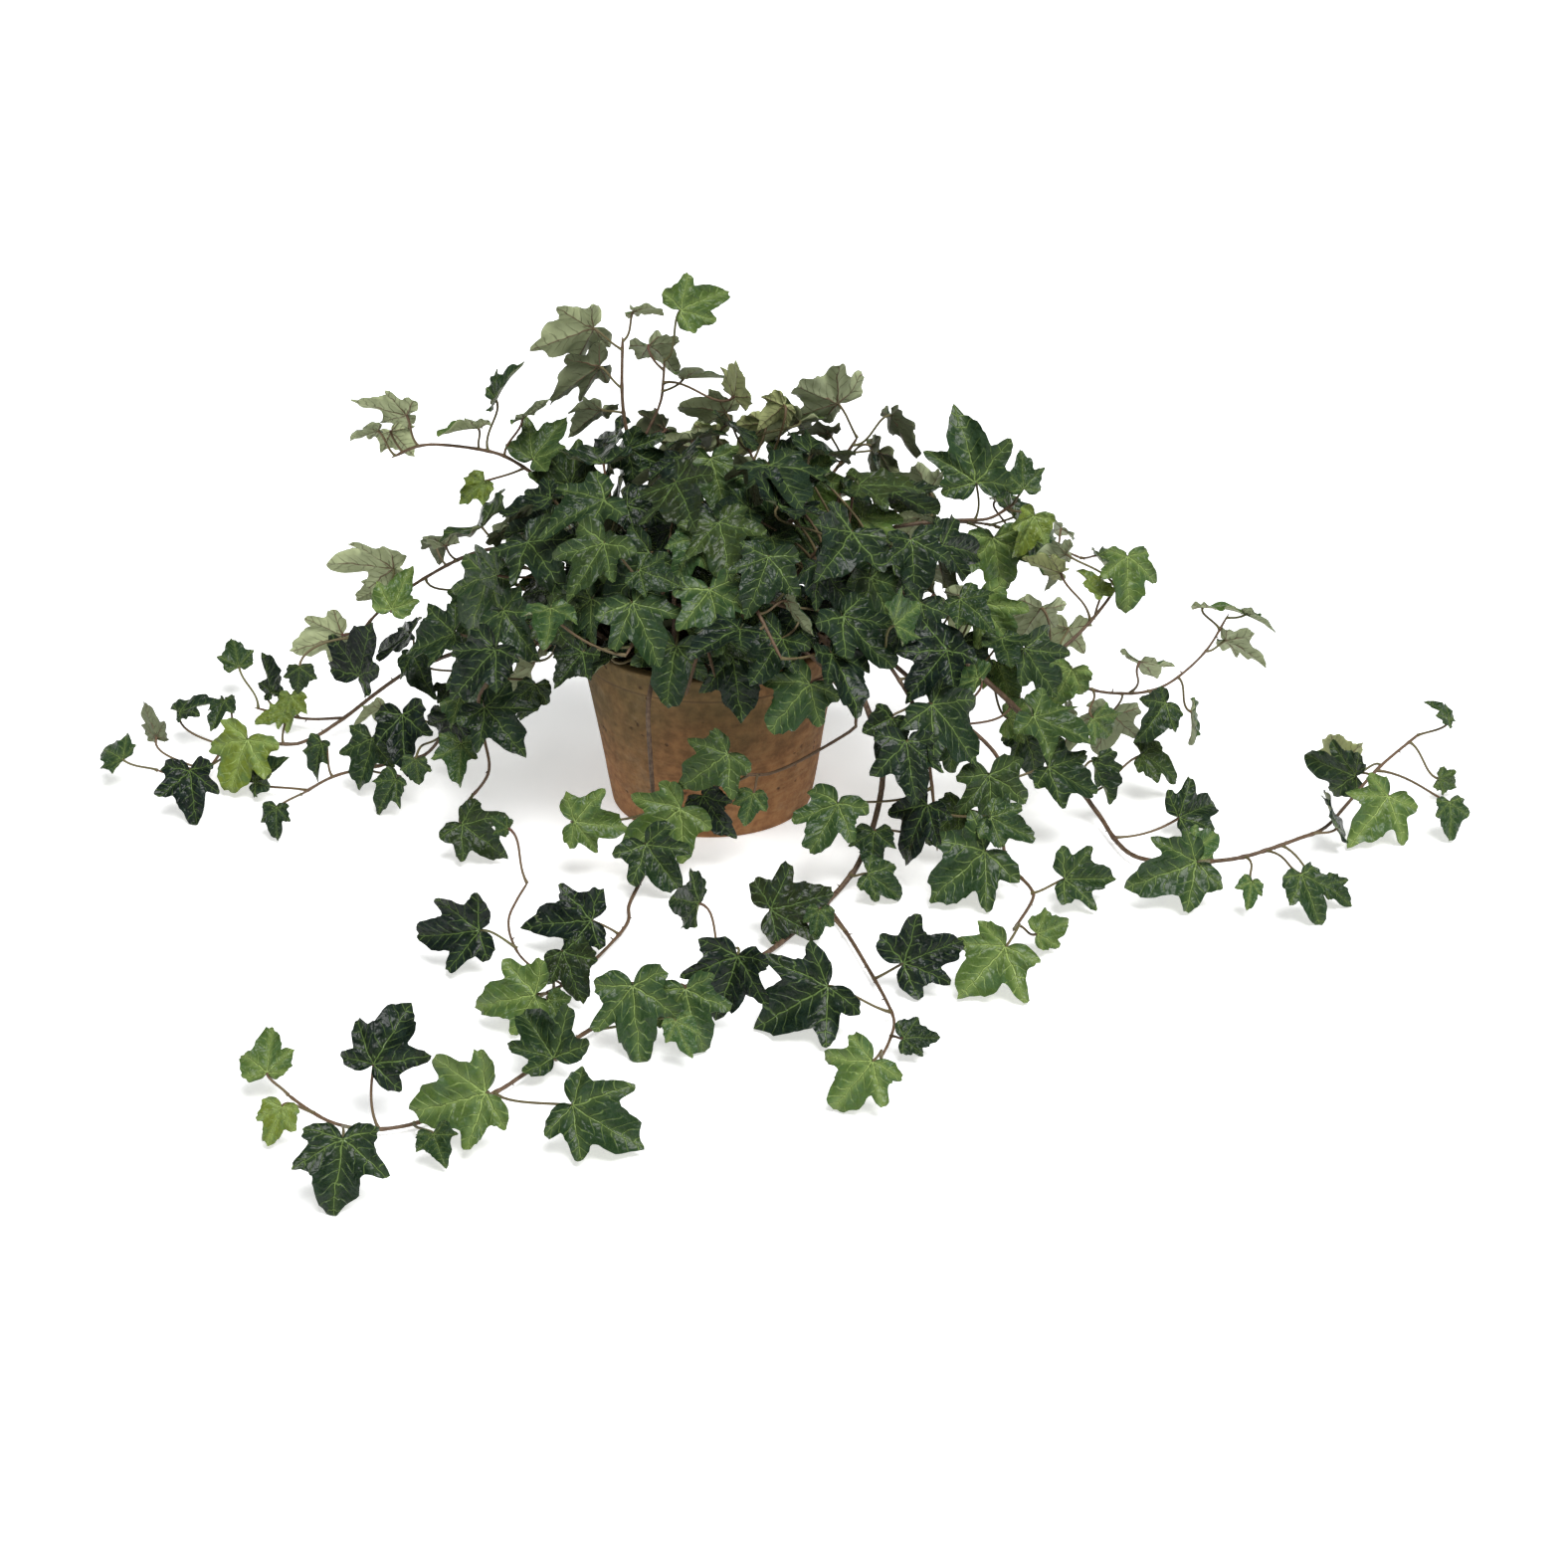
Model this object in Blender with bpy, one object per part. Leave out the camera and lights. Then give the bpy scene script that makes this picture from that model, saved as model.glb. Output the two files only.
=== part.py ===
"""Potted ivy: a tapered terracotta pot of soil, and rooted ivy vines that crowd over its rim and trail on the floor.

Each vine grew as one piece, so each is one closed body: its stem, its side shoots, its leaf stalks and its leaves.
The frame: the origin is the centre of the pot's flat underside, +Z is up, -Y is the front and +X is to the right.
"""

import math
import random

import bmesh
import bpy
from mathutils import Vector
from mathutils.bvhtree import BVHTree

MM = 0.001

# ---- the pot and its soil (metres) ----
POT_HEIGHT = 0.128
RIM_RADIUS = 0.090
BASE_RADIUS = 0.069
WALL = 0.008
POT_FLOOR = 0.012
BAND_DEPTH = 0.017  # from the rim down to the step under its band
BAND_STEP = 0.0008
LIP_ROUND = 0.0022
DRAIN_RADIUS = 0.006
DRAIN_REACH = 0.035  # of each drainage hole from the pot's axis
POT_SIDES = 40
SOIL_TOP = 0.110
SOIL_MOUND = 0.003
CLEARANCE = 0.0004

# ---- how ivy grows ----
NODE_HALF = 0.0016  # half the length of stem that a leaf stalk or a side shoot takes
NODE_GAP = 0.0045  # between two nodes' middles
CHORD_ERROR = 0.0009  # how far a stem's straight lengths may leave its smooth curve
LONGEST_CHORD = 0.045
SAMPLE = 0.002
STALK_RADIUS = 0.0007
BLADE_THICKNESS = 0.001
FLOOR_LIFT = 0.0015
STEM_GAP = 0.0008
STALK_CLEAR = 0.2  # the share of a stalk, next to its stem, that may be near that stem
SHOOT_CLEAR = 0.010  # the same for a side shoot and its parent, in metres
LOWEST_RISE = -0.12  # how flat a stalk's outer half may be to the blade it rises to
TRIES = 80
LONGEST_STRETCH = 0.055  # how far a stalk may be from its best length

# A blade's right half from the stalk to the tip, for a blade of length 1: across, along and up.
FIVE_LOBES = [
    (0.18, -0.19, 0.02),
    (0.44, -0.13, 0.05),
    (0.42, 0.12, 0.03),
    (0.55, 0.43, 0.00),
    (0.29, 0.49, 0.03),
]
THREE_LOBES = [(0.30, -0.14, 0.03), (0.48, 0.32, 0.01), (0.25, 0.48, 0.03)]
TIP = (0.0, 1.0, -0.10)
SMALL_LEAF = 36

# ---- the vines (millimetres and degrees) ----
# routes: the first is the vine's stem, outward from the soil; the others are side shoots that leave it nearby.
# leaves: (x, y, length, turn) near the floor, or (x, y, z, length, turn) or (x, y, z, length, turn, facing, slope)
#   where the leaf is held in the air. x, y and z are the end of its stalk. turn swings its tip in the blade's own
#   plane: 0 hangs downhill, 90 points to the right of the way it faces, 180 uphill.
# fill: (route, start, end, spacing, first length, last length), leaves in turn on both sides of a stretch.
# facing: which way the upper sides lean (0 front, 90 right, 180 back); None is mostly away from the pot.
# slope: the blades' tilt, 0 for lying flat.
VINES = {
    "vine_front": {
        "routes": [
            [(45, -30, 111), (72, -62, 146), (100, -92, 118), (114, -108, 70), (104, -126, 26), (86, -150, 6),
             (50, -215, 5), (25, -247, 6), (-50, -305, 5), (-90, -358, 7), (-120, -395, 5), (-170, -430, 5),
             (-208, -428, 6), (-242, -398, 9)],
            [(78, -168, 6), (92, -215, 5), (105, -265, 6), (116, -320, 8), (106, -372, 14)],
        ],
        "leaves": [
            (-245, -390, 34, -157), (-235, -440, 25, -15), (-180, -405, 48, -172), (-195, -490, 43, -4),
            (-120, -440, 48, -74), (-145, -455, 25, -17), (-70, -440, 46, 69), (-90, -370, 40, -150),
            (-15, -230, 38, -75), (-40, -335, 46, 10), (-10, -330, 40, 20), (20, -315, 46, -9),
            (-15, -350, 25, -10), (40, -205, 44, 118), (75, -200, 22, 15), (105, -155, 32, 60),
            (75, -310, 48, -53), (125, -270, 42, 117), (100, -400, 38, -38), (120, -350, 25, 100),
        ],
        "facing": 0, "slope": 55, "thick": 3.8,
    },
    "vine_front_left": {
        "routes": [
            [(-10, -40, 111), (-28, -75, 142), (-38, -104, 118), (-37, -107, 70), (-36, -108, 24), (-42, -130, 7),
             (-50, -165, 5), (-52, -200, 5), (-80, -262, 5), (-100, -292, 9)],
            [(-88, -272, 7), (-114, -240, 6), (-126, -195, 8), (-116, -152, 13)],
        ],
        "leaves": [
            (-100, -315, 40, -78), (-95, -310, 24, 39), (-70, -220, 45, -101), (-85, -280, 35, 30),
            (-140, -240, 42, -86), (-120, -120, 20, -100), (-100, -135, 42, 104), (-40, -140, 40, 27),
            (-20, -118, 48, 46, -55),
        ],
        "facing": 0, "slope": 55, "thick": 2.8,
    },
    "vine_front_right": {
        "routes": [
            [(58, -28, 111), (100, -55, 142), (146, -76, 110), (184, -84, 55), (202, -108, 10), (207, -158, 5),
             (196, -216, 9)],
        ],
        "leaves": [
            (185, -265, 40, -50), (210, -225, 25, 93), (230, -160, 36, 80), (180, -145, 52, -63),
        ],
        "fill": [(0, 0.30, 0.66, 24, 46, 44)],
        "facing": 10, "slope": 55, "thick": 3.0,
    },
    "vine_right_long": {
        "routes": [
            [(66, 0, 111), (120, -6, 138), (170, -20, 100), (220, -40, 45), (262, -64, 9), (295, -108, 6),
             (340, -140, 5), (378, -112, 7), (415, -65, 12), (450, -20, 20), (488, 10, 30)],
        ],
        "leaves": [
            (260, -30, 38, 5), (315, -65, 36, 100), (315, -155, 46, -63), (330, -115, 30, 120),
            (380, -175, 34, -5), (400, -160, 22, 40), (350, -170, 18, -20), (455, -65, 42, -52),
            (500, -60, 26, -10), (290, -5, 34, 60), (415, -90, 40, 150), (430, -20, 44, -140), (495, 15, 28, 170),
            (436, -18, 22, 34, 170, 175, 60), (502, -12, 16, 20, 60, 30, 60),
        ],
        "fill": [(0, 0.16, 0.36, 22, 46, 42)],
        "facing": 20, "slope": 50, "thick": 3.8,
    },
    "vine_right_upper": {
        "routes": [
            [(56, 26, 111), (104, 16, 146), (150, 0, 118), (195, -6, 94), (235, 20, 96), (268, 45, 118),
             (286, 62, 142)],
            [(222, 10, 94), (262, 4, 76), (305, 10, 74), (338, 28, 92), (356, 42, 116)],
        ],
        "leaves": [
            (285, 55, 148, 38, 8, 42, 66), (245, 60, 152, 28, 90, 190, 60), (254, 45, 134, 32, 170, 60, 66),
            (246, 40, 104, 38, 20, 175, 74), (335, 45, 122, 36, -80, 170, 24), (355, 40, 98, 34, -60, 165, 50),
            (362, 45, 118, 24, -70, 170, 30), (318, 30, 76, 38, -70, 15, 42), (326, 25, 52, 30, 8, 70, 78),
            (276, 25, 52, 36, 0, 170, 76), (240, 20, 72, 36, 5, 60, 72), (212, -20, 120, 40, 15, 30, 62),
            (214, -25, 62, 38, 20, 20, 60), (170, -15, 118, 40, -10, 15, 58), (240, 30, 150, 30, 110, 150, 60),
            (225, 15, 132, 38, 20, 175, 66), (184, -5, 140, 44, 20, 20, 70), (196, -22, 118, 38, 10, 10, 60),
            (241, -10, 96, 38, -8, 25, 78), (213, -32, 91, 38, 25, 15, 60), (269, -16, 101, 40, 0, 170, 70),
            (260, -34, 68, 38, 40, 170, 66), (177, 22, 137, 38, 10, 180, 66),
        ],
        "facing": None, "slope": 52, "thick": 3.6,
    },
    "vine_right_back": {
        "routes": [
            [(52, 38, 111), (98, 62, 160), (150, 82, 166), (190, 92, 166), (216, 98, 178)],
            [(160, 86, 167), (196, 120, 150), (236, 140, 128), (268, 150, 110)],
        ],
        "leaves": [
            (184, 88, 196, 50, -172, 5, 62), (216, 92, 188, 28, 172, 20, 66), (196, 84, 158, 42, 8, 10, 55),
            (152, 92, 186, 40, 100, 185, 60), (224, 90, 152, 36, 30, 45, 58), (222, 86, 170, 34, -35, 15, 60),
            (150, 80, 166, 40, 20, 178, 70),
        ],
        "fill": [(1, 0.2, 1.0, 24, 42, 26)],
        "facing": None, "slope": 50, "thick": 3.2,
    },
    "vine_top_right": {
        "routes": [
            [(24, 46, 111), (52, 78, 165), (84, 104, 196), (102, 110, 222)],
            [(54, 80, 167), (34, 86, 200), (22, 92, 228)],
        ],
        "leaves": [
            (90, 108, 246, 48, 118, 180, 74), (122, 110, 240, 36, -30, 105, 70), (120, 105, 206, 42, -15, 100, 74),
            (62, 104, 236, 38, 60, 165, 62), (58, 100, 200, 44, 100, 20, 52), (10, 100, 242, 36, 110, 178, 62),
            (42, 97, 234, 38, 60, 172, 66), (4, 98, 224, 32, 80, 165, 60), (56, 98, 248, 28, 40, 200, 60),
            (84, 95, 234, 32, 120, 160, 50), (109, 84, 222, 38, -20, 95, 76), (64, 60, 211, 42, 20, 5, 58),
            (32, 54, 210, 46, 5, 10, 60), (14, 62, 222, 42, 0, -5, 55),
        ],
        "facing": None, "slope": 45, "thick": 3.0,
    },
    "vine_top": {
        "routes": [
            [(-20, 44, 111), (-44, 78, 178), (-60, 96, 240), (-60, 100, 296)],
            [(-52, 92, 212), (-36, 102, 246), (-32, 106, 280)],
        ],
        "leaves": [
            (-78, 100, 300, 46, 72, 175, 62), (-52, 102, 312, 26, -80, 185, 40), (-72, 98, 272, 42, 75, 195, 70),
            (-20, 100, 316, 38, 118, 0, 60), (-40, 104, 290, 36, -40, 170, 66), (-22, 100, 264, 38, -75, 150, 44),
            (-36, 98, 226, 36, 70, 175, 60), (14, 100, 254, 42, 175, 160, 60), (-74, 98, 238, 36, 60, 160, 64),
            (-27, 92, 228, 38, 110, 175, 64), (-58, 80, 222, 40, 60, 20, 60),
        ],
        "facing": None, "slope": 42, "thick": 3.4,
    },
    "vine_left_upper": {
        "routes": [
            [(-34, 26, 111), (-70, 58, 168), (-106, 78, 192), (-146, 82, 218), (-194, 84, 224), (-220, 86, 214)],
        ],
        "leaves": [
            (-206, 82, 246, 36, 98, 172, 58), (-228, 82, 230, 22, 80, 190, 60), (-212, 82, 216, 28, -12, 168, 78),
            (-158, 80, 238, 32, 100, 175, 40), (-146, 82, 258, 32, 176, 262, 80), (-130, 78, 214, 42, 150, -12, 60),
            (-156, 78, 198, 24, -35, -20, 62), (-112, 80, 236, 34, 172, 235, 80), (-96, 70, 200, 42, -160, 0, 55),
        ],
        "facing": None, "slope": 48, "thick": 2.6,
    },
    "vine_left_middle": {
        "routes": [
            [(-52, 14, 111), (-100, 44, 156), (-152, 72, 152), (-196, 80, 130), (-232, 78, 104), (-252, 66, 84)],
        ],
        "leaves": [
            (-224, 76, 138, 46, 84, 172, 72), (-230, 74, 108, 24, 80, 180, 60), (-262, 72, 84, 40, 68, 180, 74),
            (-272, 66, 48, 28, 0, 100, 76), (-246, 60, 62, 44, 168, -25, 80), (-220, 60, 84, 38, 150, -15, 60),
            (-184, 72, 154, 28, 160, 185, 50), (-168, 70, 118, 38, -10, -20, 60), (-186, 70, 128, 34, 0, 185, 66),
        ],
        "fill": [(0, 0.28, 0.55, 24, 44, 42)],
        "facing": None, "slope": 52, "thick": 2.8,
    },
    "vine_left_long": {
        "routes": [
            [(-62, -4, 111), (-112, 22, 136), (-166, 52, 92), (-212, 84, 44), (-258, 82, 14), (-300, 62, 7),
             (-340, 44, 5), (-362, 14, 6), (-374, -12, 6), (-394, -2, 9)],
            [(-262, 82, 14), (-296, 100, 8), (-334, 116, 9)],
        ],
        "leaves": [
            (-355, -30, 36, 5), (-405, 10, 28, -115), (-320, 10, 42, -10), (-305, 100, 26, 0), (-380, 75, 36, 170),
            (-345, 60, 26, -20), (-335, 150, 34, 175), (-316, 92, 32, 30, 175, 80, 80), (-373, 34, 24, 32, 178, 85, 80),
            (-299, 60, 32, 24, -60, 0, 60),
        ],
        "fill": [(0, 0.22, 0.5, 24, 44, 38)],
        "facing": -20, "slope": 50, "thick": 3.2,
    },
    "vine_left_low": {
        "routes": [
            [(-58, -22, 111), (-108, -26, 134), (-152, 0, 84), (-186, 28, 32), (-214, 34, 10), (-250, 4, 6),
             (-282, -24, 8)],
        ],
        "leaves": [
            (-290, -65, 22, 15), (-270, -5, 28, 0), (-215, -30, 28, -30), (-205, -55, 24, -20), (-235, 5, 38, 0),
            (-305, 0, 38, 165), (-210, 0, 58, 44, 15, -15, 60), (-184, 18, 52, 42, 20, -10, 58),
            (-227, 30, 51, 24, 60, 200, 60),
        ],
        "fill": [(0, 0.28, 0.62, 22, 42, 36)],
        "facing": -15, "slope": 52, "thick": 2.8,
    },
    "vine_left_front": {
        "routes": [
            [(-44, -44, 111), (-92, -62, 138), (-136, -58, 96), (-150, -56, 52), (-166, -62, 16)],
        ],
        "leaves": [(-165, -95, 36, 50)],
        "fill": [(0, 0.30, 0.8, 24, 42, 36)],
        "facing": -10, "slope": 55, "thick": 2.4,
    },
    "vine_pot_front": {
        "routes": [
            [(34, -52, 111), (70, -84, 138), (96, -98, 100), (78, -102, 70), (44, -106, 60), (14, -104, 62)],
        ],
        "leaves": [(12, -110, 84, 38, -50), (30, -110, 58, 24, 0), (-6, -112, 58, 36, 40)],
        "facing": 0, "slope": 62, "thick": 2.0,
    },
    "vine_crown_front": {
        "routes": [
            [(-4, -18, 111), (-10, -42, 150), (2, -66, 178), (30, -80, 182), (62, -74, 168)],
            [(-9, -46, 156), (-32, -62, 172), (-62, -62, 172), (-86, -54, 158)],
        ],
        "leaves": [
            (-16, -96, 160, 44, -8), (20, -98, 150, 42, 10), (52, -92, 172, 44, -20), (88, -76, 166, 48, 5),
            (-50, -88, 178, 46, 25), (-78, -66, 172, 44, -30), (0, -80, 190, 50, 15), (40, -74, 200, 48, -15),
            (-36, -70, 206, 48, -30), (72, -60, 200, 46, 30), (105, -40, 180, 46, 10), (-105, -40, 170, 44, -15),
            (-70, -40, 205, 46, 20), (10, -50, 222, 46, 0),
        ],
        "facing": None, "slope": 56, "thick": 2.8,
    },
    "vine_right_front": {
        "routes": [
            [(50, -12, 111), (92, -56, 152), (134, -94, 112), (146, -112, 66), (150, -128, 22)],
        ],
        "leaves": [
            (86, -122, 62, 44, -12), (130, -110, 98, 44, 15), (142, -118, 58, 44, -10), (190, -112, 62, 42, 55),
            (116, -122, 34, 32, 20), (66, -112, 136, 44, -35),
        ],
        "fill": [(0, 0.34, 0.7, 24, 44, 40)],
        "facing": 10, "slope": 58, "thick": 2.6,
    },
}

# ---- the crown: short shoots that arch out over the rim, under a dome of leaves (millimetres) ----
CROWN_SHOOTS = 16
CROWN_CENTRE = Vector((5, 22, 116))
CROWN_REACH = Vector((170, 142, 128))
CROWN_LAYERS = [  # share of the dome's reach, number of leaves, blade length, lowest angle from the dome's top
    (1.0, 66, 48, 100),
    (0.76, 46, 46, 102),
    (0.48, 20, 42, 78),
]

FRONT_EDGE, FRONT_LOWEST = -55, 150  # in front of the rim the dome ends higher, and the pot shows


def material(name, colour, roughness):
    mat = bpy.data.materials.new(name)
    mat.use_nodes = True
    shader = mat.node_tree.nodes["Principled BSDF"]
    shader.inputs["Base Color"].default_value = (*colour, 1)
    shader.inputs["Roughness"].default_value = roughness
    shader.inputs["Metallic"].default_value = 0
    return mat


def finish(name, bm, colour, roughness):
    """Turns a mesh under construction into the named object."""
    bmesh.ops.recalc_face_normals(bm, faces=bm.faces)
    if bm.calc_volume(signed=True) < 0:
        bmesh.ops.reverse_faces(bm, faces=bm.faces)
    mesh = bpy.data.meshes.new(name)
    bm.to_mesh(mesh)
    bm.free()
    mesh.materials.append(material(name, colour, roughness))
    ob = bpy.data.objects.new(name, mesh)
    bpy.context.collection.objects.link(ob)
    return ob


# ---------------------------------------------------------------- the pot and the soil


def wall_radius(z):
    """The pot's outside radius at a height, on its plain taper."""
    return BASE_RADIUS + (RIM_RADIUS - BASE_RADIUS) * z / POT_HEIGHT


def turned(name, profile, colour, roughness):
    """A solid of revolution from a profile of (radius, height), from the axis round to the axis."""
    bm = bmesh.new()
    rings = []
    for radius, z in profile:
        if radius < 1e-6:
            rings.append([bm.verts.new((0, 0, z))])
            continue
        angles = [2 * math.pi * i / POT_SIDES for i in range(POT_SIDES)]
        rings.append([bm.verts.new((radius * math.cos(a), radius * math.sin(a), z)) for a in angles])
    for low, high in zip(rings, rings[1:]):
        for i in range(POT_SIDES):
            j = (i + 1) % POT_SIDES
            corners = [low[i % len(low)], low[j % len(low)], high[j % len(high)], high[i % len(high)]]
            bm.faces.new(list(dict.fromkeys(corners)))
    return finish(name, bm, colour, roughness)


def build_pot():
    band = POT_HEIGHT - BAND_DEPTH
    lip = POT_HEIGHT - LIP_ROUND
    inner_lip = RIM_RADIUS - WALL
    profile = [
        (0, 0),
        (BASE_RADIUS - 0.002, 0),
        (BASE_RADIUS, 0.0015),
        (wall_radius(band) - BAND_STEP, band - 0.0015),
        (wall_radius(band) + BAND_STEP / 2, band),
        (wall_radius(lip) + BAND_STEP / 2, lip),
        (RIM_RADIUS - LIP_ROUND * 0.5, POT_HEIGHT),
        (inner_lip + LIP_ROUND * 0.7, POT_HEIGHT),
        (inner_lip, lip),
        (wall_radius(POT_FLOOR) - WALL, POT_FLOOR),
        (0, POT_FLOOR),
    ]
    pot = turned("pot", profile, (0.31, 0.145, 0.068), 0.85)
    for k in range(3):
        angle = math.radians(30 + 120 * k)
        place = (DRAIN_REACH * math.cos(angle), DRAIN_REACH * math.sin(angle), POT_FLOOR / 2)
        bpy.ops.mesh.primitive_cylinder_add(vertices=16, radius=DRAIN_RADIUS, depth=POT_FLOOR * 2, location=place)
        cutter = bpy.context.object
        cutter.name = f"drain_cutter_{k + 1}"
        cutter.hide_render = True
        cutter.display_type = "WIRE"
        cut = pot.modifiers.new(cutter.name, "BOOLEAN")
        cut.operation = "DIFFERENCE"
        cut.object = cutter
    pot.data.shade_smooth()
    pot.data.set_sharp_from_angle(angle=math.radians(40))
    return pot


def soil_radius(z):
    """The pot's inside radius at a height, less the gap to the soil."""
    inner_top = RIM_RADIUS - WALL
    inner_base = wall_radius(POT_FLOOR) - WALL
    share = (z - POT_FLOOR) / (POT_HEIGHT - LIP_ROUND - POT_FLOOR)
    return inner_base + (inner_top - inner_base) * share - CLEARANCE


def build_soil():
    bottom = POT_FLOOR + CLEARANCE
    edge = SOIL_TOP - SOIL_MOUND
    profile = [
        (0, bottom),
        (soil_radius(bottom), bottom),
        (soil_radius(edge), edge),
        (soil_radius(edge) * 0.6, SOIL_TOP - SOIL_MOUND * 0.3),
        (0, SOIL_TOP),
    ]
    return turned("soil", profile, (0.045, 0.030, 0.020), 0.95)


# ---------------------------------------------------------------- curves


def smooth_route(points):
    """Points a sample apart along a smooth curve through a route's points, in metres."""
    pts = [Vector(p) * MM for p in points]
    ends = [2 * pts[0] - pts[1], *pts, 2 * pts[-1] - pts[-2]]
    dense = []
    for a, b, c, d in zip(ends, ends[1:], ends[2:], ends[3:]):
        steps = max(2, math.ceil((c - b).length / SAMPLE))
        for i in range(steps):
            t = i / steps
            dense.append(0.5 * (2 * b + (c - a) * t + (2 * a - 5 * b + 4 * c - d) * t * t
                                + (3 * b - a - 3 * c + d) * t ** 3))
    dense.append(pts[-1])
    return dense


def straight_lengths(dense):
    """The fewest of a curve's points whose straight joins stay near it."""
    kept = [dense[0]]
    i = 0
    while i < len(dense) - 1:
        j = i + 1
        while j + 1 < len(dense) and (dense[j + 1] - dense[i]).length <= LONGEST_CHORD:
            way = (dense[j + 1] - dense[i]).normalized()
            if any((p - dense[i]).cross(way).length > CHORD_ERROR for p in dense[i + 1:j + 1]):
                break
            j += 1
        kept.append(dense[j])
        i = j
    return kept


def bezier(a, b, c, d, t):
    s = 1 - t
    return a * s ** 3 + b * (3 * s * s * t) + c * (3 * s * t * t) + d * t ** 3


class Stem:
    """One stretch of stem: its curve, its taper, and what leaves it where."""

    def __init__(self, points, thick, thin, bare=0.0):
        self.bare = bare
        self.points = straight_lengths(smooth_route(points))
        self.at = [0.0]
        for p, q in zip(self.points, self.points[1:]):
            self.at.append(self.at[-1] + (q - p).length)
        self.length = self.at[-1]
        self.thick, self.thin = thick, thin
        self.nodes = {}

    def point(self, s):
        i = 0
        while i < len(self.at) - 2 and self.at[i + 1] < s:
            i += 1
        share = (s - self.at[i]) / max(self.at[i + 1] - self.at[i], 1e-9)
        return self.points[i].lerp(self.points[i + 1], min(max(share, 0), 1))

    def along(self, s):
        return (self.point(min(s + SAMPLE, self.length)) - self.point(max(s - SAMPLE, 0))).normalized()

    def radius(self, s):
        return self.thick + (self.thin - self.thick) * s / self.length

    def free(self, s):
        inside = self.bare + 2 * NODE_HALF < s < self.length - NODE_HALF
        return inside and all(abs(s - other) > NODE_GAP for other in self.nodes)


def ring(centre, along, side, radius, sides):
    """A tube's cross-section, with its first corner half a side past the given side."""
    across = (side - along * side.dot(along)).normalized()
    up = along.cross(across)
    turn = [2 * math.pi * (i + 0.5) / sides for i in range(sides)]
    return [centre + (across * math.cos(a) + up * math.sin(a)) * radius for a in turn]


def tube_tree(points, radii):
    """A square tube's surface, to test against."""
    verts, faces = [], []
    side = Vector((0, 0, 1)) if abs((points[-1] - points[0]).normalized().z) < 0.9 else Vector((1, 0, 0))
    for i, (p, r) in enumerate(zip(points, radii)):
        along = points[min(i + 1, len(points) - 1)] - points[max(i - 1, 0)]
        verts += ring(p, along.normalized(), side, r * 1.42, 4)
        if i:
            n = 4 * i
            faces += [(n + k, n + (k + 1) % 4, n - 4 + (k + 1) % 4, n - 4 + k) for k in range(4)]
    return verts, faces


# ---------------------------------------------------------------- leaves


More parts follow.
